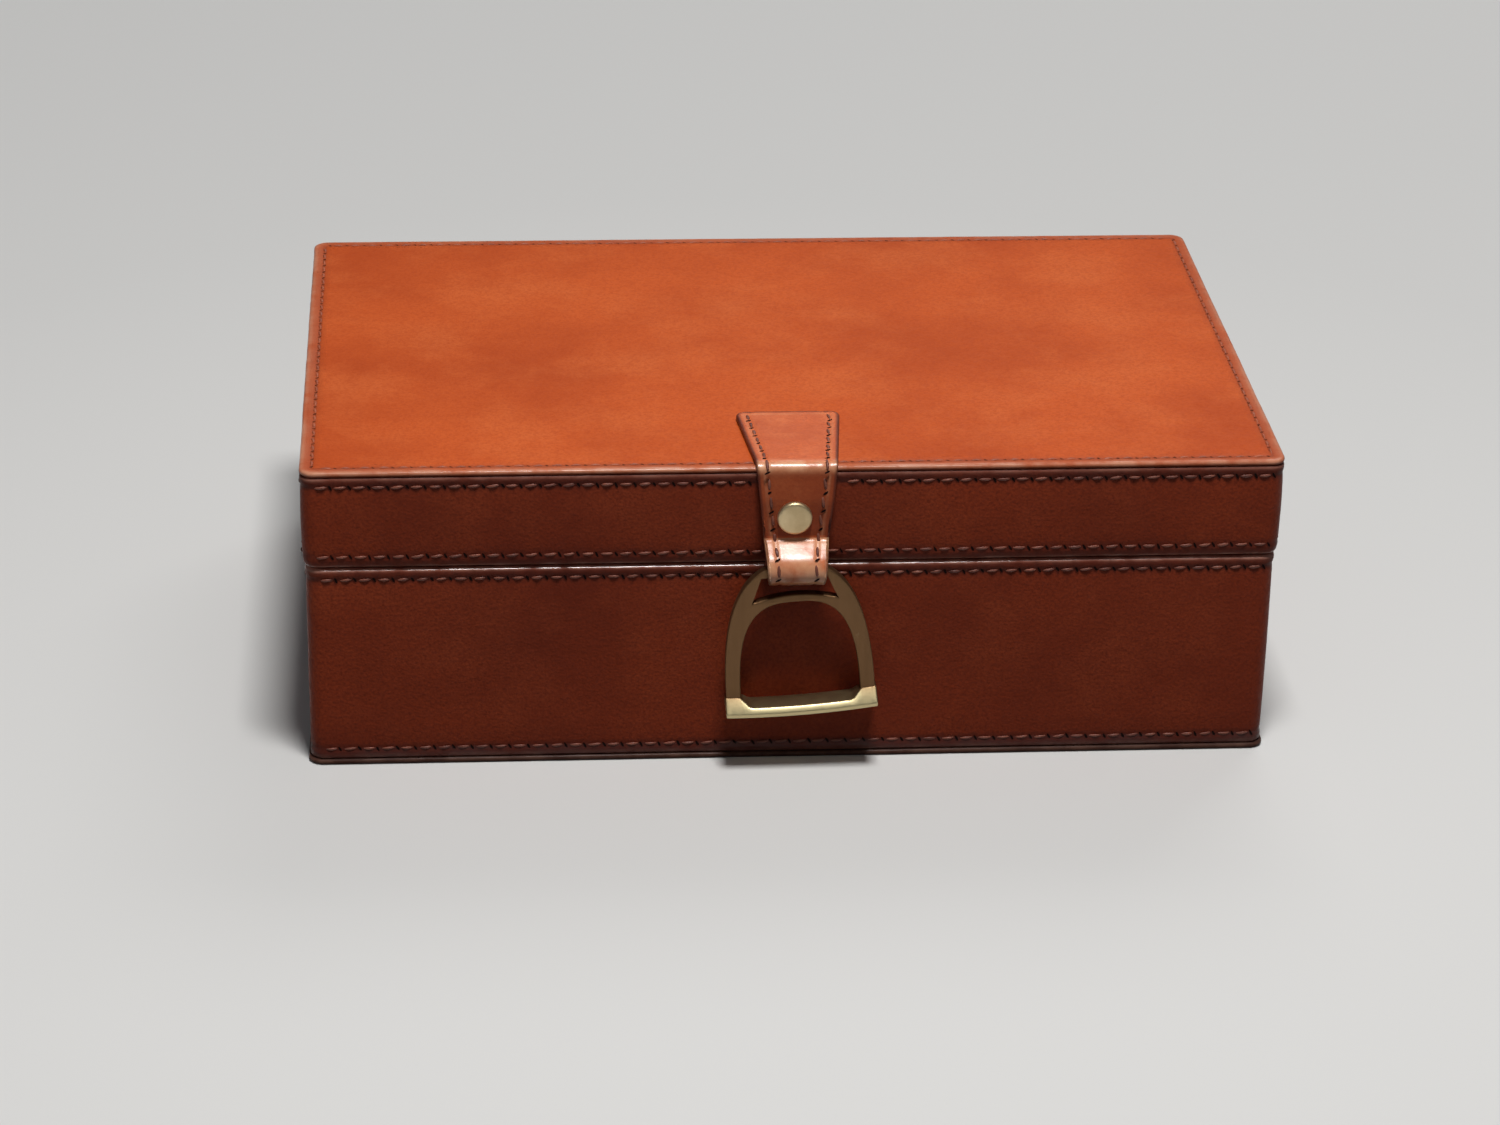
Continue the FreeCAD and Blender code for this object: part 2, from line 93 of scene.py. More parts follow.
panel_steps = 8
channel_bank = 1.3            # leather beside a row is level from here on
channel_lip = 0.08
hand_waves = ((1.6, 45.0), (1.0, 11.0), (0.5, 4.0))     # size and length of the waves in hand-cut leather
cover_stray = 0.07            # how far the covers stray from true
sole_stray = 0.05
trim_stray = 0.03
rim_wear_and_highlight = 0.75              # rims are rubbed paler this much, partly as painted highlight, and fully at the corners
corner_reach = 14.0

# Stitches
stitch_pitch = 5.0
thread_length = 3.5
thread_width = 0.85
thread_height = 0.62
thread_rise = 5.0             # degrees, towards the right
hole_length = 1.75
hole_width = 0.62
hole_slant = 32.0             # degrees out of upright
hole_lift = 0.12
thread_crown = 0.25           # the middle rises and the ends dip, as shares of the thread's height
thread_dip = 0.55
thread_seat = 0.12            # lies this far above the bottom of its channel
stitch_tilt = 4.0             # degrees, either way
stitch_sizes = ((0.9, 1.04), (0.9, 1.1), (0.85, 1.1))   # least and most in length, width and height
hinge_middle = 75.0           # no stitches under the hinges
hinge_half = 17.0
strap_covers = {"top": 11.0, "rim": 8.0, "panel": 12.0}     # nor under the strap, as far as this
row_turn = 1.0                # side rows run this far into the round of the corner
flat_row_end = 1.2            # rows on a flat face stop this far from the row that they meet

# Strap
strap_thickness = 1.5
strap_tail = 34.0
strap_fold_inside = 1.1
strap_lie = 2.0               # lies on the lid front before it leaves for the folded end
strap_underlap = 77.5         # height of the folded end
strap_crease = 66.3
strap_half_widths = {"tail": 14.2, "edge": 10.8, "crease": 8.6, "loop": 7.3, "end": 9.7}
strap_tail_radius = 3.0
strap_row = 2.9               # stitch rows in from the side edges
strap_step = 0.7
loop_radius = 4.154           # middle of the strap's thickness
strap_columns = 44
strap_edge_round = 0.42
strap_groove = 0.2            # under the stitch rows
strap_groove_half = 0.55
strap_pinch = 0.22            # at the crease
strap_pinch_half = 0.8
strap_wave = 0.04
strap_wave_length = 5.0
strap_first_stitch = 4.0
strap_stitch_sink = 0.14
fold_past_edge = 0.8
painted_front_shade = 0.62            # painted shade: the front of the strap is painted darker than its tail
# painted highlight: the loop faces up into the light and is painted paler; it also shines
loop_painted_highlight = 0.75
edge_strip = 1.1              # dark edges, fading inwards
edge_fade = 0.6
fold_highlight_back = 0.6         # the band of painted highlight, which also shines, lies this far behind the fold's start
fold_highlight_half = 1.4
fold_highlight_side = 0.8         # and fades out this near the sides
rub_line = 0.3                # faint rubbed line along the sides
rub_line_at = 2.0
rub_line_half = 0.4

# Rivet
rivet_z = 73.0
rivet_radius = 4.6
rivet_shift = -0.6            # a little left of the middle
rivet_height = 1.6
rivet_round = 0.9
rivet_dome = 0.16
rivet_post = 1.5
rivet_lip = 0.15
rivet_steps = 48
rivet_crown = ((0.0, 1.0), (0.45, 0.8), (0.7, 0.35))    # shares of the radius and of the dome

# Stirrup, from its swing axis
stirrup_skew = 4.3
stirrup_shift = -0.9          # hangs a little to the left in the loop
stirrup_half_depth = 1.5
stirrup_round = 0.45
arch_top = 1.4
arch_half = 20.0
arch_power = 2.7              # 2 is an ellipse, more is squarer in the shoulders
foot = -42.0
opening_top = -9.6
opening_half = 16.0
opening_power = 3.0
eye_top = -2.2
eye_half_top = 8.6
eye_bottom = -9.3
eye_half_bottom = 11.4
eye_bow = 1.9
tread_half = 20.3
tread_reach = 4.5
tread_lip = 1.2
tread_flat = -39.4            # top of the tread between its end blocks
tread_bow = 0.8               # its ends are this much higher than its middle
block_top = -37.1
block_slope = (13.4, 16.6)    # the tread rises to its end blocks between these distances
tread_heel = 0.3
tread_round = 0.35
tread_steps = 40
limb_overlap = 0.3            # the limbs reach into the tread
opening_overlap = 0.8
tread_rub_and_highlight = 0.8               # rubbed bright, partly as painted highlight on its front, this far out from the limbs
tread_top_rub_and_highlight = 0.35          # and less on top, where the surface faces up
tread_top_facing = 0.85

# Inside and hinges
steep_turn = 1.2              # radians: an edge that turns more is an outer edge
merge_distance = 1e-3
flat_turn = math.radians(1.5)
edge_turn = math.radians(35)
shade_turn = math.radians(40)
tread_turn = math.radians(25)
tab_corner = 4.0
tab_edge_round = 0.22
mirror_lap = 2.0              # the frame covers this much of the mirror

# Padded pieces
roll_count = 5
roll_gap = 0.8
roll_around = 36              # mesh faces round a roll and along it
roll_along = 56
roll_slack = 0.35             # room for the cloth to swell
roll_drop = 0.5
roll_seat = 0.4
roll_tuck = 0.16              # share by which the ends are drawn in
roll_tuck_reach = 1.1         # over about this many mesh faces
roll_tuck_drop = 1.0
roll_swell = 0.45
roll_held = 1.0               # points this near the tray are held
pad_across = 18
pad_step = 3.0
pad_play = 0.2
pad_window_play = 0.3
pad_shoulder = 0.55           # height at its edges, as a share of the crown
pad_swell = 0.9
pad_held = 1.2
cloth_pressure = 4.0
cloth_mass = 0.2
cloth_stiffness = 12.0
cloth_bending = 0.3
cloth_frames = 20

# Leather finish
grain_scale = 1300.0
grain_middle = 1.3            # middle height of the grain, so that polish can flatten it
grain_depth = 0.25
polished_grain = 0.2          # what polish leaves of it
polish_smooths = 0.22         # and what it takes off the roughness
coat_range = (0.24, 0.56)     # polish at which the shine starts and is full

# Camera, from a fit to the corners of the case
camera_place = Vector((-0.0892, -1.0602, 0.5207))
camera_azimuth = math.radians(-4.529)
camera_elevation = math.radians(25.274)
camera_roll = math.radians(1.089)
camera_lens = 98.216
sensor_width = 36.0

Row = namedtuple("Row", "inset z strip wear pucker", defaults=(0.0, 0.0, 0.0))
rng = random.Random(11)


# Meshes

def box_mm(node):
    """Lowest and highest corner of a node, in millimetres."""
    low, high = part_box(node)
    return low / MM, high / MM


def put_in_scene(name, data):
    made = bpy.data.objects.new(name, data)
    bpy.context.scene.collection.objects.link(made)
    return made


def finished_mesh(name, bm):
    mesh = bpy.data.meshes.new(name)
    bm.to_mesh(mesh)
    bm.free()
    return mesh


def shown_mesh(holder):
    """What an object shows, with its modifiers, as a mesh of its own."""
    bpy.context.view_layer.update()
    return bpy.data.meshes.new_from_object(holder.evaluated_get(bpy.context.evaluated_depsgraph_get()))


def make_piece(name, bm, body, material, replaces=()):
    """Turns a mesh in millimetres into a finished piece that rides on a body."""
    bmesh.ops.scale(bm, vec=(MM, MM, MM), verts=bm.verts)
    for face in bm.faces:
        face.smooth = True
    piece = put_in_scene(name, finished_mesh(name, bm))
    for one in material if isinstance(material, (list, tuple)) else [material]:
        piece.data.materials.append(one)
    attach(piece, body)
    if replaces:
        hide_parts(*replaces)
    return piece


def weld(bm, distance=weld_distance):
    bmesh.ops.remove_doubles(bm, verts=bm.verts, dist=distance)


def face_out(bm):
    bmesh.ops.recalc_face_normals(bm, faces=bm.faces)


def thicken(bm, height):
    """Makes a flat sheet a slab."""
    bulk = bmesh.ops.extrude_face_region(bm, geom=bm.faces[:])["geom"]
    raised = [item for item in bulk if isinstance(item, bmesh.types.BMVert)]
    bmesh.ops.translate(bm, verts=raised, vec=(0.0, 0.0, height))
    face_out(bm)


def round_edges(bm, turn, width, segments=3, clamp=False):
    """Rounds the edges where the surface turns by more than an angle."""
    sharp = [edge for edge in bm.edges if edge.is_manifold and edge.calc_face_angle() > turn]
    bmesh.ops.bevel(bm, geom=sharp, offset=width, segments=segments, profile=0.5, affect="EDGES", material=-1,
                    clamp_overlap=clamp)


def grid_place(vert, columns, levels):
    """The column and the level of a point in a new grid."""
    return round((vert.co.x + 1) / 2 * columns), round((vert.co.y + 1) / 2 * levels)


def case_sides(half_width, half_depth):
    """The sides of a rectangle: front, right, back and left. Each has its number, the angle and direction
    that it looks in, the direction along it, its distance from the middle and half its length."""
    for side in range(4):
        outward = math.pi / 2 * (side - 1)
        out = Vector((math.cos(outward), math.sin(outward)))
        along = Vector((-out.y, out.x))
        reach, half_side = (half_width, half_depth) if side % 2 else (half_depth, half_width)
        yield side, outward, out, along, reach, half_side


def outline_stations(half_width, half_depth, step=column_step):
    """Walks round a rectangle with round corners. Each station is a point, its outward direction,
    its distance along its side from the middle of the side, and 1 on a corner."""
    stations = []
    for _, outward, out, along, reach, half_side in case_sides(half_width, half_depth):
        straight = half_side - corner_radius
        steps = round(2 * straight / step)
        for i in range(steps):
            distance = straight * (2 * i / steps - 1)
            stations.append((out * reach + along * distance, out, distance, 0.0))
        centre = out * (reach - corner_radius) + along * straight
        for i in range(corner_steps):
            turn = outward + math.pi / 2 * i / corner_steps
            direction = Vector((math.cos(turn), math.sin(turn)))
            stations.append((centre + direction * corner_radius, direction, straight, 1.0))
    return stations


def limited(value, limit):
    return max(-limit, min(limit, value))


def held(value):
    """A value held between 0 and 1."""
    return max(0.0, min(1.0, value))


def bell(distance, half):
    """1 at no distance, falling away on both sides."""
    return math.exp(-(distance / half) ** 2)


def hand_cut(spot):
    """How leather that was cut and laid by hand strays from true, about -1 to 1."""
    return sum(size * noise.noise(spot / length) for size, length in hand_waves)


def wrapped_cover(half_width, half_depth, rows, uneven):
    """A sheet wrapped round the case. Its rows are the cross-section, with insets from the outside,
    and uneven is how far the hand-cut leather strays from true."""
    bm = bmesh.new()
    strip = bm.verts.layers.float.new("strip")
    wear = bm.verts.layers.float.new("wear")
    stations = outline_stations(half_width, half_depth)
    columns, levels = len(stations), len(rows) - 1
    bmesh.ops.create_grid(bm, x_segments=columns, y_segments=levels, size=1.0)
    for vert in bm.verts:
        column, level = grid_place(vert, columns, levels)
        point, out, along, corner = stations[column % columns]
        row = rows[level]
        here = Vector((point.x, point.y, row.z))
        pull = row.pucker * math.cos(2 * math.pi * along / stitch_pitch) * (1 - corner)
        stray = 0.0 if row.inset >= panel_row else uneven * hand_cut(here)
        inset = max(row.inset + pull + stray, -rim_swell)
        at = point - out * min(inset, corner_radius)
        if inset > field_inset:
            at = Vector((point.x * (1 - inset / half_width), point.y * (1 - inset / half_depth)))
        vert.co = (limited(at.x, half_width - inset), limited(at.y, half_depth - inset), row.z)
        vert[strip] = row.strip
        near_corner = max(0.0, 1 - (half_width - abs(at.x) + half_depth - abs(at.y)) / corner_reach)
        vert[wear] = row.wear * (rim_wear_and_highlight + (1 - rim_wear_and_highlight) * near_corner)
    weld(bm)
    return bm


def close_holes(bm):
    """Fills the open ends of a wrapped sheet."""
    bmesh.ops.holes_fill(bm, edges=[edge for edge in bm.edges if edge.is_boundary], sides=0)
    face_out(bm)


# Leather covers

def band_rows(cut, rim, cut_row, rim_row, rim_pull, cut_shade):
    """Cross-section of a side band, from its cut edge over the panel to the rim and back inside."""
    way = 1 if rim > cut else -1
    height = abs(rim - cut)
    near = [
        Row(leather, 0.0, 1.0), Row(0.75, 0.0, 1.0), Row(0.3, 0.15, 1.0, 0.3), Row(0.06, 0.5, 1.0, 0.5),
        Row(0.0, 0.9, 1.0, 0.2), Row(0.0, cut_row - channel_bank, 1.0, 0.0, 0.05),
        Row(0.05, cut_row - channel_half, 0.95, 0.0, 0.07), Row(channel_depth, cut_row, 1.0),
        Row(panel_sink + channel_lip, cut_row + channel_half, 0.5),
        Row(panel_sink, cut_row + panel_edge, 0.1),
    ]
    panel_height = height - cut_row - rim_row - 2 * panel_edge
    panel = [Row(panel_sink * (1 - math.sin(math.pi * i / panel_steps)),
                 cut_row + panel_edge + panel_height * i / panel_steps) for i in range(1, panel_steps)]
    # Near the rim the leather is rubbed paler, partly as painted highlight on the facet that faces the
    # overhead light.
    far = [
        Row(panel_sink, rim_row + panel_edge, 0.1),
        Row(panel_sink + channel_lip, rim_row + channel_half, 0.5),
        Row(channel_depth, rim_row, 1.0), Row(0.05, rim_row - channel_half, 0.8, 0.0, 0.08),
        Row(0.0, rim_row - channel_bank, 0.8, 0.0, 0.06), Row(0.03, 1.25, 0.8, 0.1),
        Row(0.09, 0.9, 0.75, 0.4), Row(0.2, 0.62, 0.5, 1.0), Row(0.3, 0.54, 0.4, 1.0),
        Row(0.65, 0.25, 0.4, 1.0), Row(0.75, 0.17, 0.5, 1.0), Row(1.0, 0.05, 0.5, 0.8),
        Row(1.4, 0.0, 0.6, 0.5), Row(2.2, 0.0, 0.7),
        Row(rim_depth - 0.6, 0.0, 0.7), Row(rim_depth - 0.15, 0.15, 0.7), Row(rim_depth, 0.5, 0.7),
        Row(rim_depth, rim_turn_in, 0.7), Row(leather, rim_turn_in, 0.7),
    ]
    from_cut = [row._replace(z=cut + way * row.z, strip=row.strip * cut_shade) for row in near + panel]
    from_rim = [row._replace(z=rim - way * row.z, strip=row.strip * seam_shade,
                             inset=row.inset + rim_pull * max(0.0, 1 - row.z / rim_row)) for row in far]
    return from_cut + from_rim + from_cut[:1]


def build_bands():
    for part, cut_first in (("lid", True), ("base", False)):
        low, high = box_mm(f"{part}_side_leather")
        if cut_first:
            rows = band_rows(high.z, low.z - lid_rim_drop, lid_top_row, lid_rim_row, lid_rim_pull, seam_shade)
        else:
            # The strip at the sole keeps its full darkness, partly as painted shade along the bottom.
            rows = band_rows(low.z, high.z, base_sole_row, base_rim_row, -base_rim_swell, 1.0)
        bm = wrapped_cover(high.x, high.y, rows, cover_stray)
        face_out(bm)
        make_piece(f"{part}_side_cover", bm, part, side_leather, [f"{part}_side_leather"])


def build_top_panel():
    high = box_mm("lid_top_leather")[1]
    # The top's rounded edge is rubbed paler, partly as painted highlight along it.
    edge = [
        Row(6.0, -leather, 1.0), Row(1.0, -leather, 1.0), Row(0.4, -1.48, 1.0), Row(0.12, -1.2, 0.9, 0.2),
        Row(0.0, -0.8, 0.6, 0.7), Row(0.08, -0.42, 0.4, 1.0), Row(0.35, -0.13, 0.4, 1.0),
        Row(0.8, -0.01, 0.45, 0.75), Row(1.5, 0.0, 0.5, 0.3), Row(panel_row - channel_half, -0.02, 0.55, 0.1),
        Row(panel_row - 0.3, -0.16, 0.8), Row(panel_row, -panel_groove, 1.0),
        Row(panel_row + 0.3, -0.14, 0.7), Row(panel_row + channel_half, -0.03, 0.25), Row(5.5, 0.0),
        Row(9.0, 0.0),
    ]
    field = [Row(inset, 0.0) for inset in (18.0, 30.0, 45.0, 62.0, 80.0)]
    rows = [row._replace(z=high.z + row.z) for row in edge + field]
    bm = wrapped_cover(high.x, high.y, rows, cover_stray)
    close_holes(bm)
    make_piece("lid_top_panel", bm, "lid", top_leather, ["lid_top_leather"])


def build_sole():
    high = box_mm("base_bottom_leather")[1]
    rows = [
        Row(6.0, leather, 1.0), Row(0.8, leather, 1.0), Row(0.3, 1.45, 1.0, 0.4), Row(0.05, 1.15, 0.9, 0.6),
        Row(0.0, 0.8, 0.9, 0.4), Row(0.05, 0.45, 0.9, 0.3), Row(0.3, 0.13, 0.8, 0.6), Row(0.8, 0.0, 0.7, 0.3),
        Row(panel_row - channel_half, 0.0, 0.5), Row(panel_row, 0.2, 1.0),
        Row(panel_row + channel_half, 0.0, 0.2), Row(9.0, 0.0), Row(30.0, 0.0), Row(80.0, 0.0),
    ]
    bm = wrapped_cover(high.x, high.y, rows, sole_stray)
    close_holes(bm)
    make_piece("base_sole", bm, "base", sole_leather, ["base_bottom_leather"])


# Stitches

def stitch_template():
    """One thread and, where it goes into the leather, a slanted flat patch of painted shade, lying along x on
    z = 0.
    """
    bm = bmesh.new()
    bmesh.ops.create_uvsphere(bm, u_segments=8, v_segments=6, radius=1.0)
    bmesh.ops.rotate(bm, verts=bm.verts, matrix=Matrix.Rotation(math.pi / 2, 3, "Y"))
    bmesh.ops.scale(bm, verts=bm.verts, vec=(thread_length / 2, thread_width / 2, thread_height / 2))
    for vert in bm.verts:
        vert.co.z += thread_height * (thread_crown - thread_dip * (2 * vert.co.x / thread_length) ** 2)
    bmesh.ops.rotate(bm, verts=bm.verts, matrix=Matrix.Rotation(math.radians(thread_rise), 3, "Z"))
    hole_shade = bmesh.ops.create_circle(bm, cap_ends=True, segments=8, radius=1.0)["verts"]
    bmesh.ops.scale(bm, verts=hole_shade, vec=(hole_width / 2, hole_length / 2, 1.0))
    bmesh.ops.rotate(bm, verts=hole_shade, matrix=Matrix.Rotation(math.radians(hole_slant), 3, "Z"))
    bmesh.ops.translate(bm, verts=hole_shade, vec=(stitch_pitch / 2, 0.0, hole_lift))
    for face in {face for vert in hole_shade for face in vert.link_faces}:
        face.material_index = 1
    return finished_mesh("stitch", bm)


def placed(at, along, out):
    """A frame at a point, with x along the row and z out of the leather."""
    up = out.cross(along)
    return Matrix.Translation(at) @ Matrix((along, up, out)).transposed().to_4x4()


def side_frames(half_width, half_depth, z, flat=0, skip=lambda side, x: False):
    """Places for the stitches of a row round the case: on its sides, or on a flat face that looks
    up (flat 1) or down (flat -1)."""
    for side, _, out, along, reach, half_side in case_sides(half_width, half_depth):
        out, along = out.to_3d(), along.to_3d()
        run = half_side - flat_row_end if flat else half_side - corner_radius + row_turn
        count = round(2 * run / stitch_pitch)
        for i in range(count):
            distance = (2 * i + 1 - count) * run / count
            if skip(side, distance):
                continue
            at = out * reach + along * distance
            at.z = z
            facing = Vector((0.0, 0.0, flat)) if flat else out
            yield placed(at, along * (flat or 1), facing)


def build_stitches(name, body, frames, thread, hole_shade):
    """Sews one stitch at each frame, none quite like the next."""
    bm = bmesh.new()
    for place in frames:
        start = len(bm.verts)
        bm.from_mesh(stitch_mesh)
        bm.verts.ensure_lookup_table()
        tilt = Matrix.Rotation(math.radians(rng.uniform(-stitch_tilt, stitch_tilt)), 4, "Z")
        size = Matrix.Diagonal([rng.uniform(*span) for span in stitch_sizes] + [1.0])
        bmesh.ops.transform(bm, matrix=place @ tilt @ size, verts=bm.verts[start:])
    make_piece(name, bm, body, [thread, hole_shade])


def under_hinge(side, x):
    return side == 2 and abs(abs(x) - hinge_middle) < hinge_half


def under_strap(half):
    """A test for places on the front that the strap covers."""
    return lambda side, x: side == 0 and abs(x) < half


def build_case_stitches():
    low, high = box_mm("lid_side_leather")
    deep = channel_depth - thread_seat
    half = high.x - deep, high.y - deep
    behind_loop = under_strap(strap_covers["rim"])
    rows = list(side_frames(*half, high.z - lid_top_row, skip=under_strap(strap_covers["top"])))
    rows += side_frames(*half, low.z - lid_rim_drop + lid_rim_row,
                        skip=lambda side, x: under_hinge(side, x) or behind_loop(side, x))
    build_stitches("lid_side_stitches", "lid", rows, dark_thread, dark_hole_shade)

    low, high = box_mm("base_side_leather")
    half = high.x - deep, high.y - deep
    rows = list(side_frames(*half, high.z - base_rim_row, skip=under_hinge))
    rows += side_frames(*half, low.z + base_sole_row)
    build_stitches("base_side_stitches", "base", rows, dark_thread, dark_hole_shade)

    high = box_mm("lid_top_leather")[1]
    rows = side_frames(high.x - panel_row, high.y - panel_row, high.z - panel_groove, flat=1,
                       skip=under_strap(strap_covers["panel"]))
    build_stitches("lid_top_stitches", "lid", rows, tan_thread, tan_hole_shade)


# Strap

def arc_points(centre, radius, start, end, count):
    """Points on an arc between two angles in degrees, ends included."""
    turns = [math.radians(start + (end - start) * i / count) for i in range(count + 1)]
    return [Vector((centre[0] + radius * math.cos(turn), centre[1] + radius * math.sin(turn)))
            for turn in turns]


def evenly_stepped(points, count):
    """The line through some points, cut into equal steps."""
    lengths = [0.0]
    for a, b in zip(points, points[1:]):
        lengths.append(lengths[-1] + (b - a).length)
    line, k = [], 0
    for i in range(count + 1):
        want = lengths[-1] * i / count
        while k < len(points) - 2 and lengths[k + 1] < want:
            k += 1
        share = (want - lengths[k]) / (lengths[k + 1] - lengths[k])
        line.append(points[k].lerp(points[k + 1], share))
    return line


def eased(line, passes):
    """The same line with its kinks eased, as thick leather eases them."""
    for _ in range(passes):
        inner = [(a + 2 * b + c) / 4 for a, b, c in zip(line, line[1:], line[2:])]
        line = [line[0], *inner, line[-1]]
    return line


def strap_line():
    """The middle of the strap's thickness in side view: how far out from the lid front, and how high."""
    half = strap_thickness / 2
    top = lid_top + half
    fold = strap_fold_inside
    crease = Vector((3 * half, strap_crease))
    centre = Vector((-(swing.y - lid_front), swing.z))
    to_crease = crease - centre
    touch = math.degrees(math.atan2(to_crease.y, to_crease.x) - math.acos(loop_radius / to_crease.length))
    points = [Vector((-strap_tail, top))]
    points += arc_points((-fold, lid_top - fold), fold + half, 90, 0, 8)
    points += [Vector((half, lid_top - strap_lie)), Vector((3 * half, strap_underlap)), crease]
    points += arc_points(centre, loop_radius, touch, -180, 30)
    points.append(Vector((half, strap_underlap)))
    length = sum((b - a).length for a, b in zip(points, points[1:]))
    return eased(evenly_stepped(points, round(length / strap_step)), 3)


def strap_half_width(distance, marks):
    """Half the strap's width at a distance from its tail: marks are (distance, half-width) in order."""
    width = marks[-1][1]
    for (a, wide), (b, narrow) in zip(marks, marks[1:]):
        if distance <= b:
            width = wide + (narrow - wide) * (distance - a) / (b - a)
            break
    from_end = strap_tail_radius - distance
    if from_end > 0:
        width -= strap_tail_radius - math.sqrt(max(strap_tail_radius ** 2 - from_end ** 2, 0.0))
    return width


def strap_marks(line):
    """Distances along the strap where its width is known."""
    def nearest(test):
        return min(range(len(line)), key=lambda i: test(line[i])) * strap_length / (len(line) - 1)

    strap_length = strap_step * (len(line) - 1)
    crease = Vector((1.5 * strap_thickness, strap_crease))
    return [
        (0.0, strap_half_widths["tail"]),
        (strap_tail, strap_half_widths["edge"]),
        (nearest(lambda p: (p - crease).length), strap_half_widths["crease"]),
        (nearest(lambda p: p.y), strap_half_widths["loop"]),
        (strap_length, strap_half_widths["end"]),
    ]


def on_strap_line(line, distance, lift):
    """A point over the strap's middle line, with the directions along it and out of it."""
    place = min(max(distance / strap_step, 0.0), len(line) - 1.001)
    i = int(place)
    at = line[i].lerp(line[i + 1], place - i)
    before, after = line[max(i - 1, 0)], line[min(i + 2, len(line) - 1)]
    along = (after - before).normalized()
    out = Vector((-along.y, along.x))
    spot = at + out * lift

    def in_case(v, origin=0.0):
        return Vector((0.0, origin - v.x, v.y))

    return in_case(spot, lid_front), in_case(along), in_case(out)


def strap_sheet(line, marks):
    """The strap laid out flat, with rounded edges: x across, y along and z through it."""
    bm = bmesh.new()
    bmesh.ops.create_grid(bm, x_segments=strap_columns, y_segments=len(line) - 1, size=1.0)
    for vert in bm.verts:
        distance = (vert.co.y + 1) / 2 * marks[-1][0]
        vert.co = (vert.co.x * strap_half_width(distance, marks), distance, 0.0)
    thicken(bm, strap_thickness)
    round_edges(bm, steep_turn, strap_edge_round)
    return bm


def build_strap():
    line = strap_line()
    marks = strap_marks(line)
    length = marks[-1][0]
    fold_at, crease_at, loop_at = marks[1][0] + fold_past_edge, marks[2][0], marks[3][0]
    bm = strap_sheet(line, marks)
    strip = bm.verts.layers.float.new("strip")
    wear = bm.verts.layers.float.new("wear")
    for vert in bm.verts:
        x, distance, height = vert.co
        half = strap_half_width(distance, marks)
        lift = height - strap_thickness / 2
        from_side = max(min(half - abs(x), distance, length - distance), 0.0)
        if lift > 0:
            lift -= (strap_groove * bell(half - strap_row - abs(x), strap_groove_half) +
                     strap_pinch * bell(distance - crease_at, strap_pinch_half))
            lift += strap_wave * noise.noise(Vector((x, distance, 0.0)) / strap_wave_length)
        spot = on_strap_line(line, distance, lift)[0]
        vert.co = (x, spot.y, spot.z)
        # Painted shade: the strap's front, from the fold down to the crease, is darkened toward its strip
        # colour.
        on_front_painted_shade = painted_front_shade if fold_at < distance < crease_at - 1.0 else 0.0
        # Painted highlight on the loop, which faces up into the light.
        on_loop_painted_highlight = loop_painted_highlight if crease_at - 0.5 < distance < loop_at + 1.0 else 0.0
        # Painted highlight across the fold, where the overhead light glints.
        on_fold_highlight = bell(distance - fold_at + fold_highlight_back, fold_highlight_half)
        on_fold_highlight *= held(from_side / fold_highlight_side)
        vert[strip] = max(held((edge_strip - from_side) / edge_fade), on_front_painted_shade)
        vert[wear] = max(rub_line * bell(from_side - rub_line_at, rub_line_half), on_loop_painted_highlight, on_fold_highlight)
    face_out(bm)
    make_piece("strap_leather", bm, "lid", strap_leather, ["strap"])

    frames = []
    for i in range(int((loop_at - strap_first_stitch + 1.0) / stitch_pitch)):
        distance = strap_first_stitch + i * stitch_pitch
        for hand in (-1, 1):
            x = hand * (strap_half_width(distance, marks) - strap_row)
            spot, along, out = on_strap_line(line, distance, strap_thickness / 2 - strap_stitch_sink)
            frames.append(placed(Vector((x, spot.y, spot.z)), along, out))
    build_stitches("strap_stitches", "lid", frames, dark_thread, dark_hole_shade)


# Rivet and stirrup

def build_rivet():
    low, high = box_mm("strap_rivet")
    front, back = low.y, high.y
    corner = arc_points((rivet_radius - rivet_round, 0.0), rivet_round, 90, 0, 6)
    profile = [(share * rivet_radius, -dome * rivet_dome) for share, dome in rivet_crown]
    profile += [(point.x, rivet_round - point.y) for point in corner]
    profile += [(rivet_radius, rivet_height - rivet_lip), (rivet_radius - rivet_lip, rivet_height)]
    profile += [(rivet_post, rivet_height), (rivet_post, back - front), (0.0, back - front)]
    bm = bmesh.new()
    verts = [bm.verts.new((radius, front + depth, rivet_z)) for radius, depth in profile]
    edges = [bm.edges.new(pair) for pair in zip(verts, verts[1:])]
    bmesh.ops.spin(bm, geom=verts + edges, cent=(0.0, 0.0, rivet_z), axis=(0.0, 1.0, 0.0),
                   dvec=(0.0, 0.0, 0.0), angle=2 * math.pi, steps=rivet_steps, use_merge=True)
    weld(bm)
    face_out(bm)
    bmesh.ops.translate(bm, verts=bm.verts, vec=(rivet_shift, 0.0, 0.0))
    make_piece("rivet", bm, "lid", rivet_brass, ["strap_rivet"])


def arch(half, top, low, power):
    """Outline of a squarish arch, from its right foot round to its left foot."""
    points = []
    for point in arc_points((0.0, 0.0), 1.0, 0, 180, 64):
        across = math.copysign(abs(point.x) ** (2 / power), point.x)
        points.append(Vector((half * across, low + (top - low) * abs(point.y) ** (2 / power))))
    return points


def eye_outline():
    """Outline of the slot for the strap, over a bowed crossbar."""
    radius = (eye_half_bottom ** 2 + eye_bow ** 2) / (2 * eye_bow)
    centre = (0.0, eye_bottom + eye_bow - radius)
    side = math.degrees(math.asin(eye_half_bottom / radius))
    bar = arc_points(centre, radius, 90 + side, 90 - side, 16)
    return [Vector((eye_half_top, eye_top)), Vector((-eye_half_top, eye_top)), *bar]


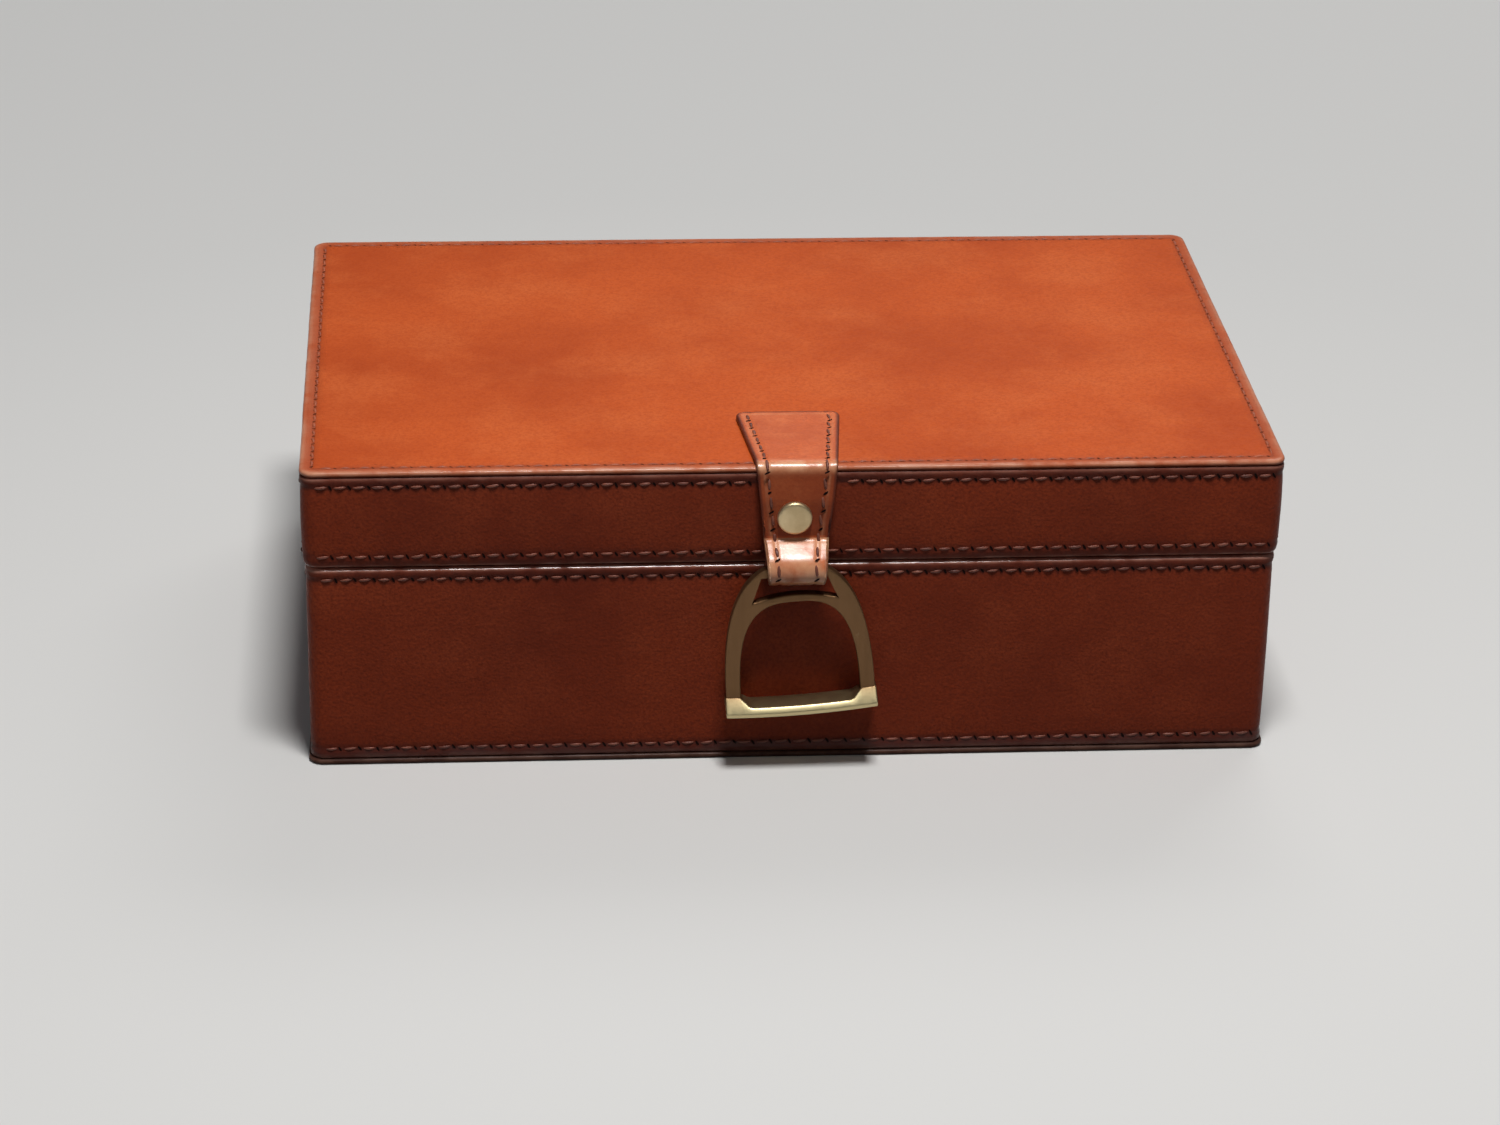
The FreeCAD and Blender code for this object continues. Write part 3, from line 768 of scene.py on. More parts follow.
def flat_plate(outlines, half_depth, rounding):
    """A mesh of a flat plate with holes and rounded edges: outlines are the outside, then the holes."""
    curve = bpy.data.curves.new("plate", "CURVE")
    curve.dimensions = "2D"
    curve.fill_mode = "BOTH"
    curve.extrude = half_depth - rounding
    curve.bevel_depth = rounding
    curve.bevel_resolution = 2
    curve.offset = -rounding
    for points in outlines:
        spline = curve.splines.new("POLY")
        spline.points.add(len(points) - 1)
        for knot, point in zip(spline.points, points):
            knot.co = (point.x, point.y, 0.0, 1.0)
        spline.use_cyclic_u = True
    holder = put_in_scene("plate", curve)
    mesh = shown_mesh(holder)
    bpy.data.objects.remove(holder)
    return mesh


def tread_section(x):
    """Cross-section of the foot bar: how far to the front, and how high. Its front and back slope out
    from the limbs, and its top is flat between two end blocks."""
    near, far = block_slope
    share = limited((abs(x) - near) / (far - near) * 2 - 1, 1.0) / 2 + 0.5
    top = tread_flat + (block_top - tread_flat) * share * share * (3 - 2 * share)
    lift = tread_bow * (x / tread_half) ** 2
    low = foot + lift
    down = (block_top - top) / (block_top - foot - tread_lip)
    reach = stirrup_half_depth + (tread_reach - stirrup_half_depth) * down
    half = [(reach, top + lift), (tread_reach, low + tread_lip), (tread_reach - tread_heel, low)]
    return half + [(-across, z) for across, z in reversed(half)]


def tread_mesh():
    """The foot bar, lofted from end to end, with rounded edges."""
    bm = bmesh.new()
    places = [tread_half * (2 * i / tread_steps - 1) for i in range(tread_steps + 1)]
    rings = [[bm.verts.new((x, z, across)) for across, z in tread_section(x)] for x in places]
    for ring, following in zip(rings, rings[1:]):
        for a, b, c, d in zip(ring, ring[1:] + ring[:1], following[1:] + following[:1], following):
            bm.faces.new((a, b, c, d))
    bm.faces.new(rings[0])
    bm.faces.new(rings[-1][::-1])
    face_out(bm)
    round_edges(bm, tread_turn, tread_round)
    return finished_mesh("tread", bm)


def joined_mesh(first, second):
    """The union of two closed meshes."""
    holders = [put_in_scene(mesh.name, mesh) for mesh in (first, second)]
    union = holders[0].modifiers.new("join", "BOOLEAN")
    union.operation = "UNION"
    union.solver = "EXACT"
    union.object = holders[1]
    whole = shown_mesh(holders[0])
    for holder in holders:
        bpy.data.objects.remove(holder)
    return whole


def build_stirrup():
    outside = arch(arch_half, arch_top, foot + tread_bow + limb_overlap, arch_power)
    opening = arch(opening_half, opening_top, tread_flat - opening_overlap, opening_power)
    plate = flat_plate([outside, opening[::-1], eye_outline()[::-1]], stirrup_half_depth, stirrup_round)
    bm = bmesh.new()
    bm.from_mesh(plate)
    weld(bm)
    face_out(bm)
    bm.to_mesh(plate)
    bm.clear()
    bm.from_mesh(joined_mesh(plate, tread_mesh()))
    wear = bm.verts.layers.float.new("wear")
    # The tread's front is painted bright: rubbed brass, and partly painted highlight where it faces the
    # light.
    for vert in bm.verts:
        out = abs(vert.co.z) - stirrup_half_depth
        vert[wear] = held(out / tread_rub_and_highlight) * (1.0 if vert.normal.y < tread_top_facing else tread_top_rub_and_highlight)
    stand = Matrix.Rotation(math.pi / 2, 4, "X")
    middle = swing + Vector((stirrup_shift, 0.0, 0.0))
    hang = Matrix.Translation(middle) @ Matrix.Rotation(math.radians(-stirrup_skew), 4, "Y") @ stand
    bmesh.ops.transform(bm, matrix=hang, verts=bm.verts)
    piece = make_piece("stirrup_pull", bm, "stirrup_pull", stirrup_brass, ["stirrup"])
    piece.data.shade_smooth()


# Inside and hinges

def softened(node, material, rounding):
    """A copy of a plain piece of the frame, with its edges rounded as a covered or filed edge is."""
    source = frame["nodes"][node]
    bm = bmesh.new()
    bm.from_mesh(source.data)
    bmesh.ops.scale(bm, vec=(1 / MM, 1 / MM, 1 / MM), verts=bm.verts)
    weld(bm, merge_distance)
    bmesh.ops.dissolve_limit(bm, angle_limit=flat_turn, verts=bm.verts, edges=bm.edges)
    round_edges(bm, edge_turn, rounding, clamp=True)
    piece = make_piece(f"{node}_finish", bm, source["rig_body"], material, [node])
    piece.data.set_sharp_from_angle(angle=shade_turn)
    flat = piece.modifiers.new("flat", "WEIGHTED_NORMAL")
    flat.keep_sharp = True


def build_plain_pieces():
    sides = ("front", "back", "left", "right")
    for side in sides:
        softened(f"base_{side}_lining", suede, 0.35)
        softened(f"lid_{side}_lining", suede, 0.35)
        softened(f"tray_{side}_wall", suede, 0.7)
    for node in ("tray_ring_divider", "tray_cross_divider", "tray_front_divider", "base_divider"):
        softened(node, suede, 1.1)
    for node in ("tray_ledge_left", "tray_ledge_right"):
        softened(node, suede, 0.8)
    softened("tray_floor_lining", pad_suede, 0.3)
    softened("lid_mirror", mirror, 0.8)
    for hand in ("left", "right"):
        softened(f"hinge_leaf_lid_{hand}", hinge_brass, 0.18)
        softened(f"hinge_leaf_base_{hand}", hinge_brass, 0.18)
        softened(f"hinge_pin_{hand}", hinge_brass, 0.2)
    for part in ("lid", "base"):
        softened(f"hinge_screws_{part}", hinge_brass, 0.08)
    softened("rivet_washer", rivet_brass, 0.15)
    for part in ("lid", "base"):
        for side in sides:
            finish_node(f"{part}_{side}_board")
    for node in ("lid_top_board", "base_floor_board", "tray_floor"):
        finish_node(node)


def finish_node(node):
    """Gives a hidden board of the frame its finish."""
    mesh = frame["nodes"][node].data
    mesh.materials.clear()
    mesh.materials.append(board)


def build_tabs():
    for hand in ("left", "right"):
        low, high = box_mm(f"tray_tab_{hand}")
        width, height = high.y - low.y, high.z - low.z
        bm = bmesh.new()
        bmesh.ops.create_grid(bm, x_segments=1, y_segments=1, size=0.5)
        bmesh.ops.scale(bm, vec=(width, height, 1.0), verts=bm.verts)
        top = [vert for vert in bm.verts if vert.co.y > 0]
        bmesh.ops.bevel(bm, geom=top, offset=tab_corner, segments=8, profile=0.5, affect="VERTICES",
                        material=-1)
        thicken(bm, high.x - low.x)
        round_edges(bm, steep_turn, tab_edge_round, segments=2)
        stand = Matrix(((0, 0, 1), (1, 0, 0), (0, 1, 0))).to_4x4()
        place = Matrix.Translation((low.x, (low.y + high.y) / 2, (low.z + high.z) / 2))
        bmesh.ops.transform(bm, matrix=place @ stand, verts=bm.verts)
        make_piece(f"tray_tab_{hand}_leather", bm, "tray", trim_leather, [f"tray_tab_{hand}"])


def build_mirror_frame():
    low, high = box_mm("mirror_frame")
    bottom, top = low.z, high.z
    thick = top - bottom
    width = high.x - (box_mm("lid_mirror")[1].x - mirror_lap)
    middle = width / 2
    rows = [
        Row(width, top), Row(0.3, top), Row(0.0, top - 0.3 * thick, 0.8),
        Row(0.08, bottom + 0.25 * thick, 0.8), Row(0.4, bottom, 0.3, 0.6),
        Row(middle - 1.0, bottom - 0.12), Row(middle - 0.6, bottom, 0.2), Row(middle, bottom + 0.15, 0.7),
        Row(middle + 0.6, bottom, 0.2), Row(middle + 1.0, bottom - 0.12),
        Row(width - 0.4, bottom, 0.3, 0.6), Row(width - 0.08, bottom + 0.25 * thick, 0.8),
        Row(width, top - 0.3 * thick, 0.8), Row(width, top),
    ]
    bm = wrapped_cover(high.x, high.y, rows, trim_stray)
    face_out(bm)
    make_piece("mirror_frame_leather", bm, "lid", trim_leather, ["mirror_frame"])
    frames = side_frames(high.x - middle, high.y - middle, bottom + 0.1, flat=-1)
    build_stitches("mirror_frame_stitches", "lid", frames, tan_thread, tan_hole_shade)


# Padded pieces

def inflate(piece, cap, pinned):
    """Swells a padded piece like a filled cloth cover. Pinned points stay, and none moves past the cap."""
    scene = bpy.context.scene
    group = piece.vertex_groups.new(name="held")
    group.add([i for i, vert in enumerate(piece.data.vertices) if pinned(vert.co / MM)], 1.0, "REPLACE")
    cloth = piece.modifiers.new("cloth", "CLOTH")
    settings = cloth.settings
    settings.vertex_group_mass = "held"
    settings.use_pressure = True
    settings.uniform_pressure_force = cloth_pressure
    settings.effector_weights.gravity = 0.0
    settings.mass = cloth_mass
    settings.tension_stiffness = cloth_stiffness
    settings.compression_stiffness = cloth_stiffness
    settings.bending_stiffness = cloth_bending
    for number in range(1, cloth_frames + 1):
        scene.frame_set(number)
    swollen = piece.evaluated_get(bpy.context.evaluated_depsgraph_get()).data
    for vert, moved in zip(piece.data.vertices, swollen.vertices):
        step = moved.co - vert.co
        vert.co += step * min(1.0, cap * MM / max(step.length, 1e-9))
    piece.modifiers.remove(cloth)
    piece.vertex_groups.remove(group)
    scene.frame_set(1)


def build_ring_rolls():
    low, high = box_mm("ring_rolls")
    pitch = (high.x - low.x + roll_gap) / roll_count
    radius = (pitch - roll_gap) / 2 - roll_slack
    shoulder = high.z - radius - roll_drop
    bm = bmesh.new()
    for i in range(roll_count):
        middle = low.x + pitch * i + (pitch - roll_gap) / 2
        centre = Vector((middle, (low.z + high.z) / 2 - roll_tuck_drop))
        profile = [Vector((middle + radius, low.z + roll_seat)),
                   *arc_points((middle, shoulder), radius, 0, 180, 22),
                   Vector((middle - radius, low.z + roll_seat))]
        profile = evenly_stepped(profile + profile[:1], roll_around)
        start = len(bm.verts)
        bmesh.ops.create_grid(bm, x_segments=roll_around, y_segments=roll_along, size=1.0)
        bm.verts.ensure_lookup_table()
        for vert in bm.verts[start:]:
            share = (vert.co.y + 1) / 2
            spot = profile[grid_place(vert, roll_around, roll_along)[0]]
            end = min(share, 1 - share) * roll_along
            spot = centre + (spot - centre) * (1 - roll_tuck * math.exp(-end / roll_tuck_reach))
            vert.co = (spot.x, low.y + (high.y - low.y) * share, spot.y)
    weld(bm, merge_distance)
    close_holes(bm)
    piece = make_piece("ring_roll_pads", bm, "tray", ring_suede, ["ring_rolls"])
    inflate(piece, roll_swell, lambda spot: spot.z < low.z + roll_held)
    smooth = piece.modifiers.new("smooth", "SUBSURF")
    smooth.levels = 1
    smooth.render_levels = 1


def build_lid_pad():
    low, high = box_mm("lid_pad")
    window = box_mm("lid_mirror")[1] + Vector((pad_window_play, pad_window_play, 0.0))
    narrow = Vector((window.x / high.x, window.y / high.y))
    stations = outline_stations(high.x - pad_play, high.y - pad_play, pad_step)
    columns, levels = len(stations), pad_across + 2
    bm = bmesh.new()
    bmesh.ops.create_grid(bm, x_segments=columns, y_segments=levels, size=1.0)
    for vert in bm.verts:
        column, level = grid_place(vert, columns, levels)
        point = stations[column % columns][0]
        share = min(max(level - 1, 0), pad_across) / pad_across
        crown = pad_shoulder + (1 - pad_shoulder) * math.sin(math.pi * share) ** 0.5
        if level in (0, levels):
            crown = 0.0
        vert.co.x = point.x * (1 + share * (narrow.x - 1))
        vert.co.y = point.y * (1 + share * (narrow.y - 1))
        vert.co.z = high.z - crown * (high.z - low.z)
    weld(bm)
    close_holes(bm)
    piece = make_piece("lid_pad_cover", bm, "lid", pad_suede, ["lid_pad"])
    inflate(piece, pad_swell, lambda spot: spot.z > low.z + pad_held)


def build_floor_pad():
    low, high = box_mm("base_floor_pad")
    thick = high.z - low.z
    rows = [
        Row(30.0, low.z), Row(0.6, low.z), Row(0.25, low.z + 0.4 * thick), Row(0.6, low.z + 0.7 * thick),
        Row(2.0, low.z + 0.88 * thick), Row(5.0, low.z + 0.97 * thick), Row(12.0, high.z), Row(70.0, high.z),
    ]
    bm = wrapped_cover(high.x, high.y, rows, sole_stray)
    close_holes(bm)
    piece = make_piece("base_floor_pad_cover", bm, "base", pad_suede, ["base_floor_pad"])


# Materials

def paint(red, green, blue):
    """A colour given as it looks on a screen, 0 to 255."""
    def linear(value):
        value /= 255
        return value / 12.92 if value <= 0.04045 else ((value + 0.055) / 1.055) ** 2.4

    return (linear(red), linear(green), linear(blue), 1.0)


def set_inputs(tree, node, inputs):
    """Sets a node's inputs to values, or links them to sockets."""
    for key, value in inputs.items():
        if isinstance(value, bpy.types.NodeSocket):
            tree.links.new(value, node.inputs[key])
        else:
            node.inputs[key].default_value = value


def add_node(tree, kind, inputs=None, **settings):
    """A node with its settings and inputs."""
    made = tree.nodes.new(kind)
    for key, value in settings.items():
        setattr(made, key, value)
    set_inputs(tree, made, inputs or {})
    return made


def attribute(tree, name):
    return add_node(tree, "ShaderNodeAttribute", attribute_name=name).outputs["Fac"]


def mixed(tree, factor, first, second):
    """A colour between two colours."""
    colour_in = {0: factor, 6: first, 7: second}
    return add_node(tree, "ShaderNodeMix", colour_in, data_type="RGBA").outputs[2]


def ranged(tree, value, low, high, to_low=0.0, to_high=1.0):
    """A value stretched from one range to another, and held inside it."""
    levels = {"Value": value, "From Min": low, "From Max": high, "To Min": to_low, "To Max": to_high}
    return add_node(tree, "ShaderNodeMapRange", levels).outputs["Result"]


def combined(tree, operation, first, second):
    return add_node(tree, "ShaderNodeMath", {0: first, 1: second}, operation=operation).outputs[0]


def noise_at(tree, scale, detail=4.0, rough=0.55, stretch=(1.0, 1.0, 1.0)):
    """Noise over the object's own coordinates, a scale of 1 being a metre."""
    place = add_node(tree, "ShaderNodeTexCoord").outputs["Object"]
    turned = add_node(tree, "ShaderNodeMapping", {"Vector": place, "Scale": stretch}).outputs["Vector"]
    values = {"Vector": turned, "Scale": scale, "Detail": detail, "Roughness": rough}
    return add_node(tree, "ShaderNodeTexNoise", values).outputs["Fac"]


def new_group(name, inputs, outputs):
    """A shader node group: inputs are (name, value) and outputs (name, value) for their kind."""
    def kind(value):
        return "NodeSocketColor" if isinstance(value, tuple) else "NodeSocketFloat"

    tree = bpy.data.node_groups.new(name, "ShaderNodeTree")
    for label, value in inputs:
        tree.interface.new_socket(label, in_out="INPUT", socket_type=kind(value)).default_value = value
    for label, value in outputs:
        tree.interface.new_socket(label, in_out="OUTPUT", socket_type=kind(value))
    return tree, tree.nodes.new("NodeGroupInput").outputs, tree.nodes.new("NodeGroupOutput").inputs


GREY = (0.5, 0.5, 0.5, 1.0)


def hide_tone_group():
    """Uneven dye: broad patches, drawn out along the hide, softer blooms and a fine speckle."""
    tree, given, result = new_group(
        "hide_tone", [("Colour", GREY), ("Deep", GREY), ("Bloom", GREY), ("Patches", 20.0), ("Speckle", 0.8)],
        [("Colour", GREY)])
    patches = noise_at(tree, given["Patches"], 6.0, 0.58)
    blooms = noise_at(tree, combined(tree, "MULTIPLY", given["Patches"], 2.7), 5.0, 0.6)
    speckle = noise_at(tree, 1100.0, 4.0, 0.65)
    colour = mixed(tree, ranged(tree, patches, 0.38, 0.74, 0.0, 0.9), given["Colour"], given["Deep"])
    colour = mixed(tree, ranged(tree, blooms, 0.46, 0.78, 0.0, 0.6), colour, given["Bloom"])
    colour = mixed(tree, ranged(tree, speckle, 0.42, 0.66, 0.0, given["Speckle"]), colour, given["Deep"])
    tree.links.new(colour, result["Colour"])
    return tree


def hide_grain_group():
    """Small pebbles of a smooth hide, with wrinkles between them."""
    tree, _, result = new_group("hide_grain", [], [("Height", 0.0), ("Gloss", 0.0)])
    place = add_node(tree, "ShaderNodeTexCoord").outputs["Object"]
    pattern = {"Vector": place, "Scale": grain_scale}
    cells = add_node(tree, "ShaderNodeTexVoronoi", pattern).outputs["Distance"]
    wrinkles = noise_at(tree, 420.0, 5.0, 0.6)
    wide = noise_at(tree, 70.0, 3.0, 0.5)
    pebbles = ranged(tree, cells, 0.1, 0.75, 1.0, 0.0)
    height = combined(tree, "ADD", combined(tree, "MULTIPLY", pebbles, 0.45), wrinkles)
    height = combined(tree, "ADD", height, combined(tree, "MULTIPLY", wide, 1.2))
    tree.links.new(combined(tree, "SUBTRACT", height, grain_middle), result["Height"])
    tree.links.new(ranged(tree, wrinkles, 0.3, 0.7), result["Gloss"])
    return tree


def edge_group():
    """Masks for the strips along the edges, which also carry painted shade, and for scuffed rims, which also
    carry painted highlight, both broken up.
    """
    tree, _, result = new_group("edges", [], [("Strip", 0.0), ("Wear", 0.0)])
    uneven = ranged(tree, noise_at(tree, 120.0, 5.0, 0.6), 0.38, 0.6, 0.3, 1.0)
    tree.links.new(combined(tree, "MULTIPLY", attribute(tree, "wear"), uneven), result["Wear"])
    soft = ranged(tree, noise_at(tree, 60.0, 3.0), 0.3, 0.7, 0.75, 1.0)
    tree.links.new(combined(tree, "MULTIPLY", attribute(tree, "strip"), soft), result["Strip"])
    return tree


def patina_group():
    """Handled brass: tarnish in soft clouds, fine scratches and small pits, and bright where scuffed, which
    on the stirrup's tread is partly painted highlight.
    """
    tree, given, result = new_group(
        "patina", [("Bright", GREY), ("Tarnish", GREY), ("Spread", 0.5)],
        [("Colour", GREY), ("Roughness", 0.0), ("Height", 0.0)])
    clouds = noise_at(tree, 110.0, 6.0, 0.65)
    rubbed_and_highlit = attribute(tree, "wear")
    scratches = noise_at(tree, 900.0, 4.0, 0.6, (1.0, 1.0, 0.08))
    pits = noise_at(tree, 1700.0, 2.0, 0.5)
    low = combined(tree, "SUBTRACT", given["Spread"], 0.22)
    high = combined(tree, "ADD", given["Spread"], 0.22)
    mask = combined(tree, "MAXIMUM", ranged(tree, clouds, low, high), rubbed_and_highlit)
    tree.links.new(mixed(tree, mask, given["Tarnish"], given["Bright"]), result["Colour"])
    streaks = ranged(tree, scratches, 0.3, 0.7, 0.0, 0.12)
    polish = ranged(tree, mask, 0.0, 1.0, 0.46, 0.36)
    tree.links.new(combined(tree, "ADD", polish, streaks), result["Roughness"])
    tree.links.new(combined(tree, "ADD", pits, scratches), result["Height"])
    return tree


def nap_group():
    """Suede: the nap lies light and dark where it was brushed, over fine fibres."""
    tree, given, result = new_group(
        "nap", [("Colour", GREY), ("Shade", GREY)], [("Colour", GREY), ("Height", 0.0)])
    brushed = noise_at(tree, 28.0, 5.0, 0.6, (1.0, 0.5, 1.0))
    fibres = noise_at(tree, 1900.0, 3.0, 0.7)
    colour = mixed(tree, ranged(tree, brushed, 0.35, 0.7, 0.0, 0.8), given["Colour"], given["Shade"])
    colour = mixed(tree, ranged(tree, fibres, 0.4, 0.7, 0.0, 0.45), colour, given["Shade"])
    tree.links.new(colour, result["Colour"])
    tree.links.new(combined(tree, "ADD", fibres, combined(tree, "MULTIPLY", brushed, 0.6)), result["Height"])
    return tree


def new_material(name):
    material = bpy.data.materials.new(name)
    material.use_nodes = True
    return material, material.node_tree, material.node_tree.nodes["Principled BSDF"]


def use_group(tree, group, inputs=None):
    """Places a node group in a material and gives its outputs."""
    return add_node(tree, "ShaderNodeGroup", inputs, node_tree=group).outputs


def feed(tree, shader, **sockets):
    """Links sockets of the shader to what varies, and sets the others to their values."""
    set_inputs(tree, shader, {key.replace("_", " "): value for key, value in sockets.items()})


def bumped(tree, height, strength, distance):
    values = {"Height": height, "Strength": strength, "Distance": distance * MM}
    return add_node(tree, "ShaderNodeBump", values).outputs["Normal"]


def leather_material(name, colour, deep, bloom, strip, worn_and_highlight, patches=20.0, speckle=0.8, rough=0.42, bump=0.35,
                     gloss=0.2, edge_coat=0.5, coat_rough=0.2, strip_polish=0.35):
    """Dyed hide with darker strips along its edges, which also carry painted shade, and scuffed rims, which
    are smoother and shine and also carry painted highlight.
    """
    material, tree, shader = new_material(name)
    dye = {"Colour": colour, "Deep": deep, "Bloom": bloom, "Patches": patches, "Speckle": speckle}
    tone = use_group(tree, hide_tone, dye)
    edges = use_group(tree, leather_edges)
    hide = use_group(tree, hide_grain)
    shaded = mixed(tree, edges["Strip"], tone["Colour"], strip)
    rubbed_and_highlit = mixed(tree, edges["Wear"], shaded, worn_and_highlight)
    polished_strip = combined(tree, "MULTIPLY", edges["Strip"], strip_polish)
    polish = combined(tree, "MAXIMUM", polished_strip, edges["Wear"])
    field = ranged(tree, hide["Gloss"], 0.0, 1.0, rough + 0.08, rough - 0.06)
    left_over = ranged(tree, polish, 0.0, 1.0, 1.0, polished_grain)
    height = combined(tree, "MULTIPLY", hide["Height"], left_over)
    feed(tree, shader, Base_Color=rubbed_and_highlit,
         Roughness=combined(tree, "ADD", field, combined(tree, "MULTIPLY", polish, -polish_smooths)),
         Normal=bumped(tree, height, bump, grain_depth), Specular_IOR_Level=gloss,
         Coat_Weight=ranged(tree, polish, *coat_range, 0.0, edge_coat), Coat_Roughness=coat_rough)
    return material


def brass_material(name, bright, tarnish, spread):
    material, tree, shader = new_material(name)
    metal = use_group(tree, patina, {"Bright": bright, "Tarnish": tarnish, "Spread": spread})
    feed(tree, shader, Base_Color=metal["Colour"], Roughness=metal["Roughness"], Metallic=1.0,
         Normal=bumped(tree, metal["Height"], 0.12, 0.08))
    return material


def suede_material(name, colour, shade):
    material, tree, shader = new_material(name)
    cloth = use_group(tree, nap, {"Colour": colour, "Shade": shade})
    feed(tree, shader, Base_Color=cloth["Colour"], Roughness=0.95, Specular_IOR_Level=0.1, Sheen_Weight=0.25,
         Sheen_Roughness=0.5, Normal=bumped(tree, cloth["Height"], 0.5, 0.2))
    return material


def thread_material(name, colour, shade):
    material, tree, shader = new_material(name)
    twist = noise_at(tree, 1500.0, 2.0, 0.5)
    wax = noise_at(tree, 160.0, 3.0, 0.5)
    feed(tree, shader, Base_Color=mixed(tree, ranged(tree, wax, 0.3, 0.7), colour, shade),
         Roughness=ranged(tree, twist, 0.3, 0.7, 0.42, 0.6), Normal=bumped(tree, twist, 0.4, 0.15))
    return material


# Painted shade of a stitch's awl cut, on a flat patch over the leather.
def hole_shade_material(name, rim, deep):
    material, tree, shader = new_material(name)
    depth = noise_at(tree, 900.0, 2.0)
    feed(tree, shader, Base_Color=mixed(tree, depth, rim, deep), Roughness=0.9, Specular_IOR_Level=0.1)
    return material


def mirror_material():
    material, tree, shader = new_material("mirror")
    haze = noise_at(tree, 45.0, 4.0)
    feed(tree, shader, Base_Color=mixed(tree, haze, paint(238, 240, 240), paint(228, 233, 231)), Metallic=1.0,
         Roughness=ranged(tree, haze, 0.4, 0.8, 0.015, 0.06))
    return material


def board_material():
    material, tree, shader = new_material("board")
    fibres = noise_at(tree, 300.0, 5.0, 0.6, (0.15, 1.0, 1.0))
    colour = mixed(tree, fibres, paint(196, 170, 132), paint(166, 136, 98))
    feed(tree, shader, Base_Color=colour, Roughness=0.85, Normal=bumped(tree, fibres, 0.3, 0.2))
    return material


def floor_material():
    """Pale to the camera and in reflections, also far off, and darker in the light that it throws back."""
    material, tree, shader = new_material("floor")
    rays = add_node(tree, "ShaderNodeLightPath").outputs
    seen = combined(tree, "MAXIMUM", rays["Is Camera Ray"],
                    combined(tree, "MAXIMUM", rays["Is Glossy Ray"], rays["Is Transmission Ray"]))
    place = add_node(tree, "ShaderNodeTexCoord").outputs["Object"]
    away = add_node(tree, "ShaderNodeVectorMath", {0: place}, operation="LENGTH").outputs["Value"]
    glow = combined(tree, "MULTIPLY", seen, ranged(tree, away, 0.35, 2.6, 0.0, 0.5))
    colour = mixed(tree, seen, (0.14, 0.14, 0.14, 1.0), (0.72, 0.71, 0.69, 1.0))
    feed(tree, shader, Base_Color=colour, Roughness=0.9, Specular_IOR_Level=0.0,
         Emission_Color=(0.9, 0.9, 0.88, 1.0), Emission_Strength=glow)
    return material


# Floor, light and camera

def build_floor():
    bm = bmesh.new()
    bmesh.ops.create_grid(bm, x_segments=1, y_segments=1, size=6.0)
    floor = put_in_scene("floor", finished_mesh("floor", bm))
    floor.data.materials.append(floor_material())


def add_light(name, place, target, size, power):
    lamp = bpy.data.lights.new(name, "AREA")
    lamp.shape = "RECTANGLE"
    lamp.size, lamp.size_y = size
    lamp.energy = power
    holder = put_in_scene(name, lamp)
    holder.location = place
    holder.rotation_euler = (Vector(target) - Vector(place)).to_track_quat("-Z", "Y").to_euler()


def build_light():
    add_light("overhead", place=(0.04, -0.38, 1.25), target=(0.0, -0.02, 0.06), size=(0.24, 0.24), power=12.6)
    add_light("front_fill", place=(-0.9, -1.6, 1.0), target=(0.0, 0.0, 0.05), size=(1.2, 0.9), power=0.6)
    add_light("back_fill", place=(0.5, 1.3, 1.4), target=(0.0, 0.0, 0.05), size=(1.2, 0.8), power=8.0)
    world = bpy.data.worlds.new("room")
    world.use_nodes = True
    background = world.node_tree.nodes["Background"]
    set_inputs(world.node_tree, background, {"Color": (0.9, 0.94, 1.0, 1.0), "Strength": 0.1})
    bpy.context.scene.world = world
    bpy.context.scene.view_settings.view_transform = "Standard"


def build_camera():
    flat = math.cos(camera_elevation)
    back = Vector((math.sin(camera_azimuth) * flat, -math.cos(camera_azimuth) * flat,
                   math.sin(camera_elevation)))
    right = Vector((0.0, 0.0, 1.0)).cross(back).normalized()
    up = back.cross(right)
    turned_right = right * math.cos(camera_roll) + up * math.sin(camera_roll)
    turned_up = up * math.cos(camera_roll) - right * math.sin(camera_roll)
    camera = bpy.data.cameras.new("camera")
    camera.lens = camera_lens
    camera.sensor_width = sensor_width
    camera.sensor_fit = "HORIZONTAL"
    holder = put_in_scene("camera", camera)
    axes = Matrix((turned_right, turned_up, back)).transposed().to_4x4()
    holder.matrix_world = Matrix.Translation(camera_place) @ axes
    bpy.context.scene.camera = holder


hide_tone = hide_tone_group()
hide_grain = hide_grain_group()
leather_edges = edge_group()
patina = patina_group()
nap = nap_group()

# Worn colours paint rubbed rims, partly as painted highlight along them.
top_leather = leather_material(
    "top_leather", paint(203, 90, 38), paint(168, 63, 22), paint(217, 110, 56), paint(146, 68, 42),
    paint(212, 148, 116), patches=14.0, speckle=0.45, rough=0.47, bump=0.22, gloss=0.07)
# Painted shade: the sides are the same hide as the top, painted darker for the shade they lie in under the
# overhead light.
side_leather = leather_material(
    "side_leather", paint(150, 60, 32), paint(117, 44, 25), paint(168, 75, 43), paint(72, 30, 24),
    paint(196, 138, 118), rough=0.46, bump=0.4, gloss=0.12, edge_coat=1.0)
